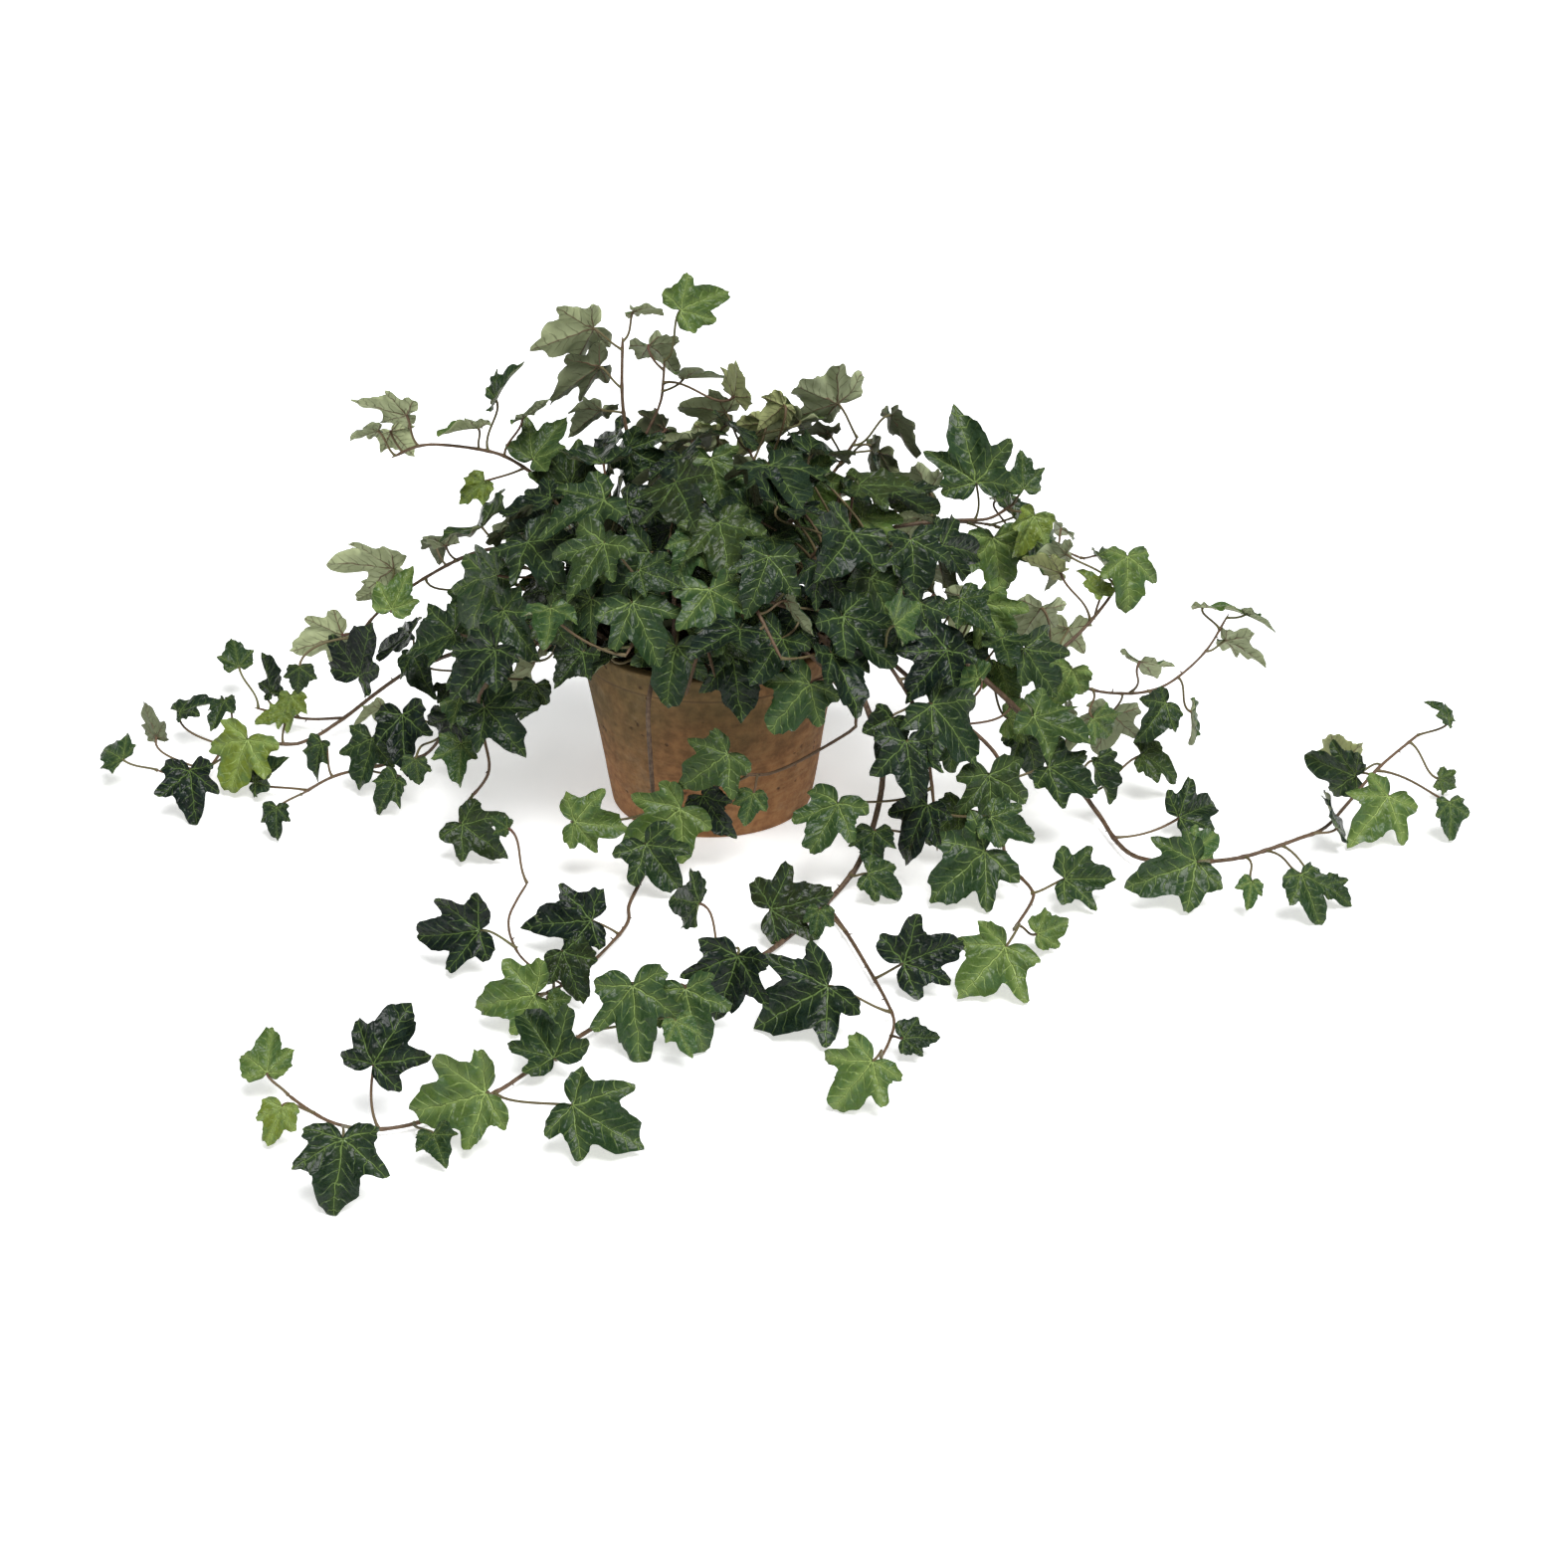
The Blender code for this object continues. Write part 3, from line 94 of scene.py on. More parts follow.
# ---- the vines (millimetres and degrees) ----
# routes: the first is the vine's stem, outward from the soil. The others are side shoots that leave it.
# leaves: (x, y, length, turn) near the floor, and (x, y, z, length, turn) or
#   (x, y, z, length, turn, facing, slope) where the leaf is held in the air. x, y and z are the end of its
#   stalk. turn swings its tip in the blade's own plane: 0 hangs downhill, 90 points to the right of the way
#   it faces, 180 uphill.
# fill: (route, start, end, spacing, first length, last length), leaves in turn on both sides of a stretch.
# facing: which way the upper sides lean (0 front, 90 right, 180 back). Without it they lean toward the light.
# slope: the blades' tilt, 0 for lying flat.
VINES = {
    "vine_front": {
        "routes": [
            [(45, -30, 111), (72, -62, 146), (100, -92, 118), (114, -108, 70), (104, -126, 26), (86, -150, 6),
             (50, -215, 5), (25, -247, 6), (-50, -305, 5), (-90, -358, 7), (-120, -395, 5), (-170, -430, 5),
             (-208, -428, 6), (-242, -398, 9)],
            [(78, -168, 6), (92, -215, 5), (105, -265, 6), (116, -320, 8), (106, -372, 14)],
        ],
        "leaves": [
            (-245, -390, 34, -157), (-235, -440, 25, -15), (-180, -405, 48, -172), (-195, -490, 43, -4),
            (-120, -440, 48, -74), (-145, -455, 25, -17), (-70, -440, 46, 69), (-90, -370, 40, -150),
            (-15, -230, 38, -75), (-40, -335, 46, 10), (-10, -330, 40, 20), (20, -315, 46, -9),
            (-15, -350, 25, -10), (40, -205, 44, 118), (75, -200, 22, 15), (105, -155, 32, 60),
            (75, -310, 48, -53), (125, -270, 42, 117), (100, -400, 38, -38), (120, -350, 25, 100),
        ],
        "facing": 0, "slope": 55, "thick": 3.8,
    },
    "vine_front_left": {
        "routes": [
            [(-10, -40, 111), (-28, -75, 142), (-38, -104, 118), (-37, -107, 70), (-36, -108, 24),
             (-42, -130, 7), (-50, -165, 5), (-52, -200, 5), (-80, -262, 5), (-100, -292, 9)],
            [(-88, -272, 7), (-114, -240, 6), (-126, -195, 8), (-116, -152, 13)],
        ],
        "leaves": [
            (-100, -315, 40, -78), (-95, -310, 24, 39), (-70, -220, 45, -101), (-85, -280, 35, 30),
            (-140, -240, 42, -86), (-120, -120, 20, -100), (-100, -135, 42, 104), (-40, -140, 40, 27),
            (-20, -118, 48, 46, -55),
        ],
        "facing": 0, "slope": 55, "thick": 2.8,
    },
    "vine_front_right": {
        "routes": [
            [(58, -28, 111), (100, -55, 142), (146, -76, 110), (184, -84, 55), (202, -108, 10),
             (207, -158, 5), (196, -216, 9)],
        ],
        "leaves": [
            (185, -265, 40, -50), (210, -225, 25, 93), (230, -160, 36, 80), (180, -145, 52, -63),
        ],
        "fill": [(0, 0.30, 0.66, 24, 46, 44)],
        "facing": 10, "slope": 55, "thick": 3.0,
    },
    "vine_right_long": {
        "routes": [
            [(66, 0, 111), (120, -6, 138), (170, -20, 100), (220, -40, 45), (262, -64, 9), (295, -108, 6),
             (340, -140, 5), (378, -112, 7), (415, -65, 12), (450, -20, 20), (488, 10, 30)],
        ],
        "leaves": [
            (260, -30, 38, 5), (315, -65, 36, 100), (315, -155, 46, -63), (330, -115, 30, 120),
            (380, -175, 34, -5), (400, -160, 22, 40), (350, -170, 18, -20), (455, -65, 42, -52),
            (500, -60, 26, -10), (290, -5, 34, 60), (415, -90, 40, 150), (430, -20, 44, -140),
            (495, 15, 28, 170), (436, -18, 22, 34, 170, 175, 60), (502, -12, 16, 20, 60, 30, 60),
        ],
        "fill": [(0, 0.16, 0.36, 22, 46, 42)],
        "facing": 20, "slope": 50, "thick": 3.8,
    },
    "vine_right_upper": {
        "routes": [
            [(56, 26, 111), (104, 16, 146), (150, 0, 118), (195, -6, 94), (235, 20, 96), (268, 45, 118),
             (286, 62, 142)],
            [(222, 10, 94), (262, 4, 76), (305, 10, 74), (338, 28, 92), (356, 42, 116)],
        ],
        "leaves": [
            (285, 55, 148, 38, 8, 42, 66), (245, 60, 152, 28, 90, 190, 60), (254, 45, 134, 32, 170, 60, 66),
            (246, 40, 104, 38, 20, 175, 74), (335, 45, 122, 36, -80, 170, 24),
            (355, 40, 98, 34, -60, 165, 50), (362, 45, 118, 24, -70, 170, 30), (318, 30, 76, 38, -70, 15, 42),
            (326, 25, 52, 30, 8, 70, 78), (276, 25, 52, 36, 0, 170, 76), (240, 20, 72, 36, 5, 60, 72),
            (212, -20, 120, 40, 15, 30, 62), (214, -25, 62, 38, 20, 20, 60), (170, -15, 118, 40, -10, 15, 58),
            (240, 30, 150, 30, 110, 150, 60), (225, 15, 132, 38, 20, 175, 66), (184, -5, 140, 44, 20, 20, 70),
            (196, -22, 118, 38, 10, 10, 60), (241, -10, 96, 38, -8, 25, 78), (213, -32, 91, 38, 25, 15, 60),
            (269, -16, 101, 40, 0, 170, 70), (260, -34, 68, 38, 40, 170, 66), (177, 22, 137, 38, 10, 180, 66),
        ],
        "slope": 52, "thick": 3.6,
    },
    "vine_right_back": {
        "routes": [
            [(52, 38, 111), (98, 62, 160), (150, 82, 166), (190, 92, 166), (216, 98, 178)],
            [(160, 86, 167), (196, 120, 150), (236, 140, 128), (268, 150, 110)],
        ],
        "leaves": [
            (184, 88, 196, 50, -172, 5, 62), (216, 92, 188, 28, 172, 20, 66), (196, 84, 158, 42, 8, 10, 55),
            (152, 92, 186, 40, 100, 185, 60), (224, 90, 152, 36, 30, 45, 58), (222, 86, 170, 34, -35, 15, 60),
            (150, 80, 166, 40, 20, 178, 70),
        ],
        "fill": [(1, 0.2, 1.0, 24, 42, 26)],
        "slope": 50, "thick": 3.2,
    },
    "vine_top_right": {
        "routes": [
            [(24, 46, 111), (52, 78, 165), (84, 104, 196), (102, 110, 222)],
            [(54, 80, 167), (34, 86, 200), (22, 92, 228)],
        ],
        "leaves": [
            (90, 108, 246, 48, 118, 180, 74), (122, 110, 240, 36, -30, 105, 70),
            (120, 105, 206, 42, -15, 100, 74), (62, 104, 236, 38, 60, 165, 62),
            (58, 100, 200, 44, 100, 20, 52), (10, 100, 242, 36, 110, 178, 62), (42, 97, 234, 38, 60, 172, 66),
            (4, 98, 224, 32, 80, 165, 60), (56, 98, 248, 28, 40, 200, 60), (84, 95, 234, 32, 120, 160, 50),
            (109, 84, 222, 38, -20, 95, 76), (64, 60, 211, 42, 20, 5, 58), (32, 54, 210, 46, 5, 10, 60),
            (14, 62, 222, 42, 0, -5, 55),
        ],
        "slope": 45, "thick": 3.0,
    },
    "vine_top": {
        "routes": [
            [(-20, 44, 111), (-44, 78, 178), (-60, 96, 240), (-60, 100, 296)],
            [(-52, 92, 212), (-36, 102, 246), (-32, 106, 280)],
        ],
        "leaves": [
            (-78, 100, 300, 46, 72, 175, 62), (-52, 102, 312, 26, -80, 185, 40),
            (-72, 98, 272, 42, 75, 195, 70), (-20, 100, 316, 38, 118, 0, 60),
            (-40, 104, 290, 36, -40, 170, 66), (-22, 100, 264, 38, -75, 150, 44),
            (-36, 98, 226, 36, 70, 175, 60), (14, 100, 254, 42, 175, 160, 60),
            (-74, 98, 238, 36, 60, 160, 64), (-27, 92, 228, 38, 110, 175, 64), (-58, 80, 222, 40, 60, 20, 60),
        ],
        "slope": 42, "thick": 3.4,
    },
    "vine_left_upper": {
        "routes": [
            [(-34, 26, 111), (-70, 58, 168), (-106, 78, 192), (-146, 82, 218), (-194, 84, 224),
             (-220, 86, 214)],
        ],
        "leaves": [
            (-206, 82, 246, 36, 98, 172, 58), (-228, 82, 230, 22, 80, 190, 60),
            (-212, 82, 216, 28, -12, 168, 78), (-158, 80, 238, 32, 100, 175, 40),
            (-146, 82, 258, 32, 176, 262, 80), (-130, 78, 214, 42, 150, -12, 60),
            (-156, 78, 198, 24, -35, -20, 62), (-112, 80, 236, 34, 172, 235, 80),
            (-96, 70, 200, 42, -160, 0, 55),
        ],
        "slope": 48, "thick": 2.6,
    },
    "vine_left_middle": {
        "routes": [
            [(-52, 14, 111), (-100, 44, 156), (-152, 72, 152), (-196, 80, 130), (-232, 78, 104),
             (-252, 66, 84)],
        ],
        "leaves": [
            (-224, 76, 138, 46, 84, 172, 72), (-230, 74, 108, 24, 80, 180, 60),
            (-262, 72, 84, 40, 68, 180, 74), (-272, 66, 48, 28, 0, 100, 76), (-246, 60, 62, 44, 168, -25, 80),
            (-220, 60, 84, 38, 150, -15, 60), (-184, 72, 154, 28, 160, 185, 50),
            (-168, 70, 118, 38, -10, -20, 60), (-186, 70, 128, 34, 0, 185, 66),
        ],
        "fill": [(0, 0.28, 0.55, 24, 44, 42)],
        "slope": 52, "thick": 2.8,
    },
    "vine_left_long": {
        "routes": [
            [(-62, -4, 111), (-112, 22, 136), (-166, 52, 92), (-212, 84, 44), (-258, 82, 14), (-300, 62, 7),
             (-340, 44, 5), (-362, 14, 6), (-374, -12, 6), (-394, -2, 9)],
            [(-262, 82, 14), (-296, 100, 8), (-334, 116, 9)],
        ],
        "leaves": [
            (-355, -30, 36, 5), (-405, 10, 28, -115), (-320, 10, 42, -10), (-305, 100, 26, 0),
            (-380, 75, 36, 170), (-345, 60, 26, -20), (-335, 150, 34, 175), (-316, 92, 32, 30, 175, 80, 80),
            (-373, 34, 24, 32, 178, 85, 80), (-299, 60, 32, 24, -60, 0, 60),
        ],
        "fill": [(0, 0.22, 0.5, 24, 44, 38)],
        "facing": -20, "slope": 50, "thick": 3.2,
    },
    "vine_left_low": {
        "routes": [
            [(-58, -22, 111), (-108, -26, 134), (-152, 0, 84), (-186, 28, 32), (-214, 34, 10), (-250, 4, 6),
             (-282, -24, 8)],
        ],
        "leaves": [
            (-290, -65, 22, 15), (-270, -5, 28, 0), (-215, -30, 28, -30), (-205, -55, 24, -20),
            (-235, 5, 38, 0), (-305, 0, 38, 165), (-210, 0, 58, 44, 15, -15, 60),
            (-184, 18, 52, 42, 20, -10, 58), (-227, 30, 51, 24, 60, 200, 60),
        ],
        "fill": [(0, 0.28, 0.62, 22, 42, 36)],
        "facing": -15, "slope": 52, "thick": 2.8,
    },
    "vine_left_front": {
        "routes": [
            [(-44, -44, 111), (-92, -62, 138), (-136, -58, 96), (-150, -56, 52), (-166, -62, 16)],
        ],
        "leaves": [(-165, -95, 36, 50)],
        "fill": [(0, 0.30, 0.8, 24, 42, 36)],
        "facing": -10, "slope": 55, "thick": 2.4,
    },
    "vine_pot_front": {
        "routes": [
            [(34, -52, 111), (70, -84, 138), (96, -98, 100), (78, -102, 70), (44, -106, 60), (14, -104, 62)],
        ],
        "leaves": [(12, -110, 84, 38, -50), (30, -110, 58, 24, 0), (-6, -112, 58, 36, 40)],
        "facing": 0, "slope": 62, "thick": 2.0,
    },
    "vine_crown_front": {
        "routes": [
            [(-4, -18, 111), (-10, -42, 150), (2, -66, 178), (30, -80, 182), (62, -74, 168)],
            [(-9, -46, 156), (-32, -62, 172), (-62, -62, 172), (-86, -54, 158)],
        ],
        "leaves": [
            (-16, -96, 160, 44, -8), (20, -98, 150, 42, 10), (52, -92, 172, 44, -20), (88, -76, 166, 48, 5),
            (-50, -88, 178, 46, 25), (-78, -66, 172, 44, -30), (0, -80, 190, 50, 15), (40, -74, 200, 48, -15),
            (-36, -70, 206, 48, -30), (72, -60, 200, 46, 30), (105, -40, 180, 46, 10),
            (-105, -40, 170, 44, -15), (-70, -40, 205, 46, 20), (10, -50, 222, 46, 0),
        ],
        "slope": 56, "thick": 2.8,
    },
    "vine_right_front": {
        "routes": [
            [(50, -12, 111), (92, -56, 152), (134, -94, 112), (146, -112, 66), (150, -128, 22)],
        ],
        "leaves": [
            (86, -122, 62, 44, -12), (130, -110, 98, 44, 15), (142, -118, 58, 44, -10),
            (190, -112, 62, 42, 55), (116, -122, 34, 32, 20), (66, -112, 136, 44, -35),
        ],
        "fill": [(0, 0.34, 0.7, 24, 44, 40)],
        "facing": 10, "slope": 58, "thick": 2.6,
    },
}

# ---- the crown: short shoots that arch out over the rim, under a dome of leaves (millimetres) ----
CROWN_SHOOTS = 16
CROWN_CENTRE = Vector((5, 22, 116))
CROWN_REACH = Vector((170, 142, 128))
# layers: share of the dome's reach, number of leaves, blade length, lowest angle from the dome's top
CROWN_LAYERS = [
    (1.0, 66, 48, 100),
    (0.76, 46, 46, 102),
    (0.48, 20, 42, 78),
]
INNER_LAYERS = [  # in the crown's shade
    (0.88, 70, 38, 104),
    (0.62, 54, 38, 104),
    (0.32, 16, 34, 80),
]
FRONT_EDGE, FRONT_LOWEST = -55, 150  # in front of the rim the dome ends higher, and the pot shows
GOLDEN_ANGLE = 2.399963


# ---- the pot and the soil as the leaves meet them ----


def wall_radius(z):
    """The pot's outside radius at a height, on its plain taper."""
    return BASE_RADIUS + (RIM_RADIUS - BASE_RADIUS) * z / POT_HEIGHT


def turned_surface(profile, sides):
    """A solid of revolution's vertices and faces, from a profile of (radius, height)."""
    verts, rings, faces = [], [], []
    angles = [2 * math.pi * i / sides for i in range(sides)]
    for radius, z in profile:
        on_axis = radius < 1e-6
        turn = [(0, 0, z)] if on_axis else [(radius * math.cos(a), radius * math.sin(a), z) for a in angles]
        rings.append(list(range(len(verts), len(verts) + len(turn))))
        verts += [Vector(p) for p in turn]
    for low, high in zip(rings, rings[1:]):
        for i in range(sides):
            j = (i + 1) % sides
            corners = [low[i % len(low)], low[j % len(low)], high[j % len(high)], high[i % len(high)]]
            faces.append(tuple(dict.fromkeys(corners)))
    return verts, faces


def pot_profile():
    """The pot's outside, rim and inside as (radius, height), plainly."""
    band = POT_HEIGHT - BAND_DEPTH
    lip = POT_HEIGHT - LIP_ROUND
    inner_lip = RIM_RADIUS - WALL
    return [
        (0, 0),
        (BASE_RADIUS - 0.002, 0),
        (BASE_RADIUS, 0.0015),
        (wall_radius(band) - BAND_STEP, band - 0.0015),
        (wall_radius(band) + BAND_STEP / 2, band),
        (wall_radius(lip) + BAND_STEP / 2, lip),
        (RIM_RADIUS - LIP_ROUND * 0.5, POT_HEIGHT),
        (inner_lip + LIP_ROUND * 0.7, POT_HEIGHT),
        (inner_lip, lip),
        (wall_radius(POT_FLOOR) - WALL, POT_FLOOR),
        (0, POT_FLOOR),
    ]


def soil_radius(z):
    """The pot's inside radius at a height, less the gap to the soil."""
    inner_top = RIM_RADIUS - WALL
    inner_base = wall_radius(POT_FLOOR) - WALL
    share = (z - POT_FLOOR) / (POT_HEIGHT - LIP_ROUND - POT_FLOOR)
    return inner_base + (inner_top - inner_base) * share - CLEARANCE


def soil_profile():
    """The soil's underside, side and mounded top as (radius, height), plainly."""
    bottom = POT_FLOOR + CLEARANCE
    edge = SOIL_TOP - SOIL_MOUND
    return [
        (0, bottom),
        (soil_radius(bottom), bottom),
        (soil_radius(edge), edge),
        (soil_radius(edge) * 0.6, SOIL_TOP - SOIL_MOUND * 0.3),
        (0, SOIL_TOP),
    ]


# ---- curves ----


def smooth_route(points):
    """Points a sample apart along a smooth curve through a route's points, in metres."""
    pts = [Vector(p) * MM for p in points]
    ends = [2 * pts[0] - pts[1], *pts, 2 * pts[-1] - pts[-2]]
    dense = []
    for a, b, c, d in zip(ends, ends[1:], ends[2:], ends[3:]):
        steps = max(2, math.ceil((c - b).length / SAMPLE))
        for i in range(steps):
            t = i / steps
            dense.append(0.5 * (2 * b + (c - a) * t + (2 * a - 5 * b + 4 * c - d) * t * t
                                + (3 * b - a - 3 * c + d) * t ** 3))
    dense.append(pts[-1])
    return dense


def straight_lengths(dense):
    """The fewest of a curve's points whose straight joins stay near it."""
    kept = [dense[0]]
    i = 0
    while i < len(dense) - 1:
        j = i + 1
        while j + 1 < len(dense) and (dense[j + 1] - dense[i]).length <= LONGEST_CHORD:
            way = (dense[j + 1] - dense[i]).normalized()
            if any((p - dense[i]).cross(way).length > CHORD_ERROR for p in dense[i + 1:j + 1]):
                break
            j += 1
        kept.append(dense[j])
        i = j
    return kept


def bezier(a, b, c, d, t):
    s = 1 - t
    return a * s ** 3 + b * (3 * s * s * t) + c * (3 * s * t * t) + d * t ** 3


class Stem:
    """One stretch of stem: its curve, its taper, and what leaves it where."""

    def __init__(self, points, thick, thin, bare=0.0):
        self.bare = bare
        self.points = straight_lengths(smooth_route(points))
        self.at = [0.0]
        for p, q in zip(self.points, self.points[1:]):
            self.at.append(self.at[-1] + (q - p).length)
        self.length = self.at[-1]
        self.thick, self.thin = thick, thin
        self.nodes = {}

    def point(self, s):
        i = 0
        while i < len(self.at) - 2 and self.at[i + 1] < s:
            i += 1
        share = (s - self.at[i]) / max(self.at[i + 1] - self.at[i], 1e-9)
        return self.points[i].lerp(self.points[i + 1], min(max(share, 0), 1))

    def along(self, s):
        return (self.point(min(s + SAMPLE, self.length)) - self.point(max(s - SAMPLE, 0))).normalized()

    def radius(self, s):
        return self.thick + (self.thin - self.thick) * s / self.length

    def free(self, s):
        inside = self.bare + 2 * NODE_HALF < s < self.length - NODE_HALF
        return inside and all(abs(s - other) > NODE_GAP for other in self.nodes)


def ring(centre, along, side, radius, sides):
    """A tube's cross-section, with its first corner half a side past the given side."""
    across = (side - along * side.dot(along)).normalized()
    up = along.cross(across)
    turn = [2 * math.pi * (i + 0.5) / sides for i in range(sides)]
    return [centre + (across * math.cos(a) + up * math.sin(a)) * radius for a in turn]


def tube_tree(points, radii):
    """A square tube's surface, to test against."""
    verts, faces = [], []
    side = Vector((0, 0, 1)) if abs((points[-1] - points[0]).normalized().z) < 0.9 else Vector((1, 0, 0))
    for i, (p, r) in enumerate(zip(points, radii)):
        along = points[min(i + 1, len(points) - 1)] - points[max(i - 1, 0)]
        verts += ring(p, along.normalized(), side, r * 1.42, 4)
        if i:
            n = 4 * i
            faces += [(n + k, n + (k + 1) % 4, n - 4 + (k + 1) % 4, n - 4 + k) for k in range(4)]
    return verts, faces


# ---- leaves ----


class Leaf:
    """A blade's place and pose, and its stalk's curve from the stem."""

    def __init__(self, base, length, turn, facing, slope):
        self.base, self.length = base, length
        lean, tilt, swing = math.radians(facing), math.radians(slope), math.radians(turn)
        toward = Vector((math.sin(lean), -math.cos(lean), 0))
        downhill = toward * math.cos(tilt) - Vector((0, 0, math.sin(tilt)))
        self.normal = toward * math.sin(tilt) + Vector((0, 0, math.cos(tilt)))
        side = Vector((-toward.y, toward.x, 0))
        self.tip_way = downhill * math.cos(swing) + side * math.sin(swing)
        self.across = self.tip_way.cross(self.normal)

    def place(self, u, v, w):
        return self.base + (self.across * u + self.tip_way * v + self.normal * w) * self.length

    def outline(self):
        half = THREE_LOBES if self.length < SMALL_LEAF * MM else FIVE_LOBES
        return [*half, TIP, *[(-u, v, w) for u, v, w in reversed(half)]]

    def lowest(self):
        return min(self.place(*p).z for p in self.outline()) - BLADE_THICKNESS

    def attach(self, stem, s):
        """Curves the stalk out of the stem and up to the blade from behind and below."""
        self.stem, self.s = stem, s
        root = stem.point(s)
        along = stem.along(s)
        reach = (self.base - root).length
        out = self.base - root
        out = (out - along * out.dot(along)).normalized()
        arrive = (self.tip_way * 0.45 + self.normal * 0.6).normalized()
        knee = root + (out + along * 0.5).normalized() * reach * 0.38
        knee.z = max(knee.z, 0.003)
        behind = self.base - arrive * reach * 0.33
        behind.z = max(behind.z, 0.003)
        self.stalk = (root, knee, behind, self.base)

    def stalk_point(self, t):
        return bezier(*self.stalk, t)

    def stalk_tubes(self, slack, start, end):
        """The stalk as its curve and as its two straight halves, between two shares of its length."""
        reach = end - start
        curve = [self.stalk_point(start + reach * i / 5) for i in range(6)]
        root, middle = self.stalk_point(0), self.stalk_point(0.5)
        bent = [root.lerp(middle, 2 * start), middle, middle.lerp(self.base, 2 * end - 1)]
        return [tube_tree(line, [STALK_RADIUS + slack] * len(line)) for line in (curve, bent)]

    def pierces_itself(self):
        """Whether the stalk comes from above the blade, or cuts into it on its way."""
        if (self.stalk_point(0.5) - self.base).normalized().dot(self.normal) > LOWEST_RISE:
            return True
        blade = BVHTree.FromPolygons(*self.blade(0.0003))
        tubes = self.stalk_tubes(0.0003, 0, 0.86)
        return any(blade.overlap(BVHTree.FromPolygons(*tube)) for tube in tubes)

    def surface(self, slack, start):
        """The blade and the stalk from a share of its length, with a margin, to test against."""
        verts, faces = self.blade(slack)
        for tube, quads in self.stalk_tubes(slack, start, 1):
            faces += [tuple(k + len(verts) for k in f) for f in quads]
            verts += tube
        return verts, faces

    def blade(self, slack):
        """The blade's top, underside and edge, with a margin."""
        rim = self.outline()
        grow = 1 + slack / self.length
        top = [self.place(u * grow, v * grow, w) + self.normal * slack for u, v, w in rim]
        low = [self.place(u * grow, v * grow, w) - self.normal * (slack + BLADE_THICKNESS) for u, v, w in rim]
        n = len(rim)
        middle = [self.base + self.normal * slack, self.base - self.normal * (slack + BLADE_THICKNESS)]
        verts = [*middle, *top, *low]
        faces = []
        for i in range(n):
            j = (i + 1) % n
            if i < n - 1:
                faces += [(0, 2 + i, 2 + j), (1, 2 + n + i, 2 + n + j)]
            faces.append((2 + i, 2 + j, 2 + n + j, 2 + n + i))
        return verts, faces


class Obstacles:
    """What has been placed already, for a new leaf to miss."""

    def __init__(self):
        self.items = []

    def add(self, verts, faces, owner=None):
        low = Vector([min(v[k] for v in verts) for k in range(3)])
        high = Vector([max(v[k] for v in verts) for k in range(3)])
        self.items.append((low, high, BVHTree.FromPolygons(verts, faces), owner))

    def hit(self, verts, faces, but_for=None):
        """Whether a surface meets anything placed, but for what the given stem owns."""
        low = [min(v[k] for v in verts) for k in range(3)]
        high = [max(v[k] for v in verts) for k in range(3)]
        tree = None
        for other_low, other_high, other, owner in self.items:
            if owner is not None and owner is but_for:
                continue
            if all(low[k] <= other_high[k] and high[k] >= other_low[k] for k in range(3)):
                tree = tree or BVHTree.FromPolygons(verts, faces)
                if tree.overlap(other):
                    return True
        return False


def stem_tube(stem, start, slack):
    """A stem's surface from a distance along it, with a margin, to test against."""
    spots = [start, *[s for s in stem.at if s > start + 0.001]]
    return tube_tree([stem.point(s) for s in spots], [stem.radius(s) + slack for s in spots])


def grow_stem(route, thick, thin, obstacles, seed, parent=None):
    """A stem along a route, bent a little where that keeps it clear of the pot and of other stems."""
    rng = random.Random(seed)
    for k in range(TRIES):
        play = 12 * k / TRIES
        bent = [Vector(p) for p in route]
        for p in bent[1:]:
            p += Vector((rng.gauss(0, play), rng.gauss(0, play), abs(rng.gauss(0, play))))
        stem = Stem(bent, thick, thin, SHOOT_CLEAR if parent else 0)
        own = obstacles.hit(*stem_tube(stem, SHOOT_CLEAR, STEM_GAP))
        if not own and (parent is None or not obstacles.hit(*stem_tube(stem, 0, STEM_GAP), parent)):
            break
    obstacles.add(*stem_tube(stem, 0, 0), stem)
    return stem


def best_node(stems, base, length):
    """The free place on the stems whose distance suits the leaf's stalk best."""
    best = None
    for stem in stems:
        steps = int(stem.length / 0.003)
        for i in range(1, steps):
            s = stem.length * i / steps
            if not stem.free(s):
                continue
            gap = (stem.point(s) - base).length
            cost = abs(gap - 0.55 * length) + (0.02 if stem.point(s).z > base.z + 0.01 else 0)
            if gap > 0.25 * length and (best is None or cost < best[0]):
                best = (cost, stem, s)
    return best


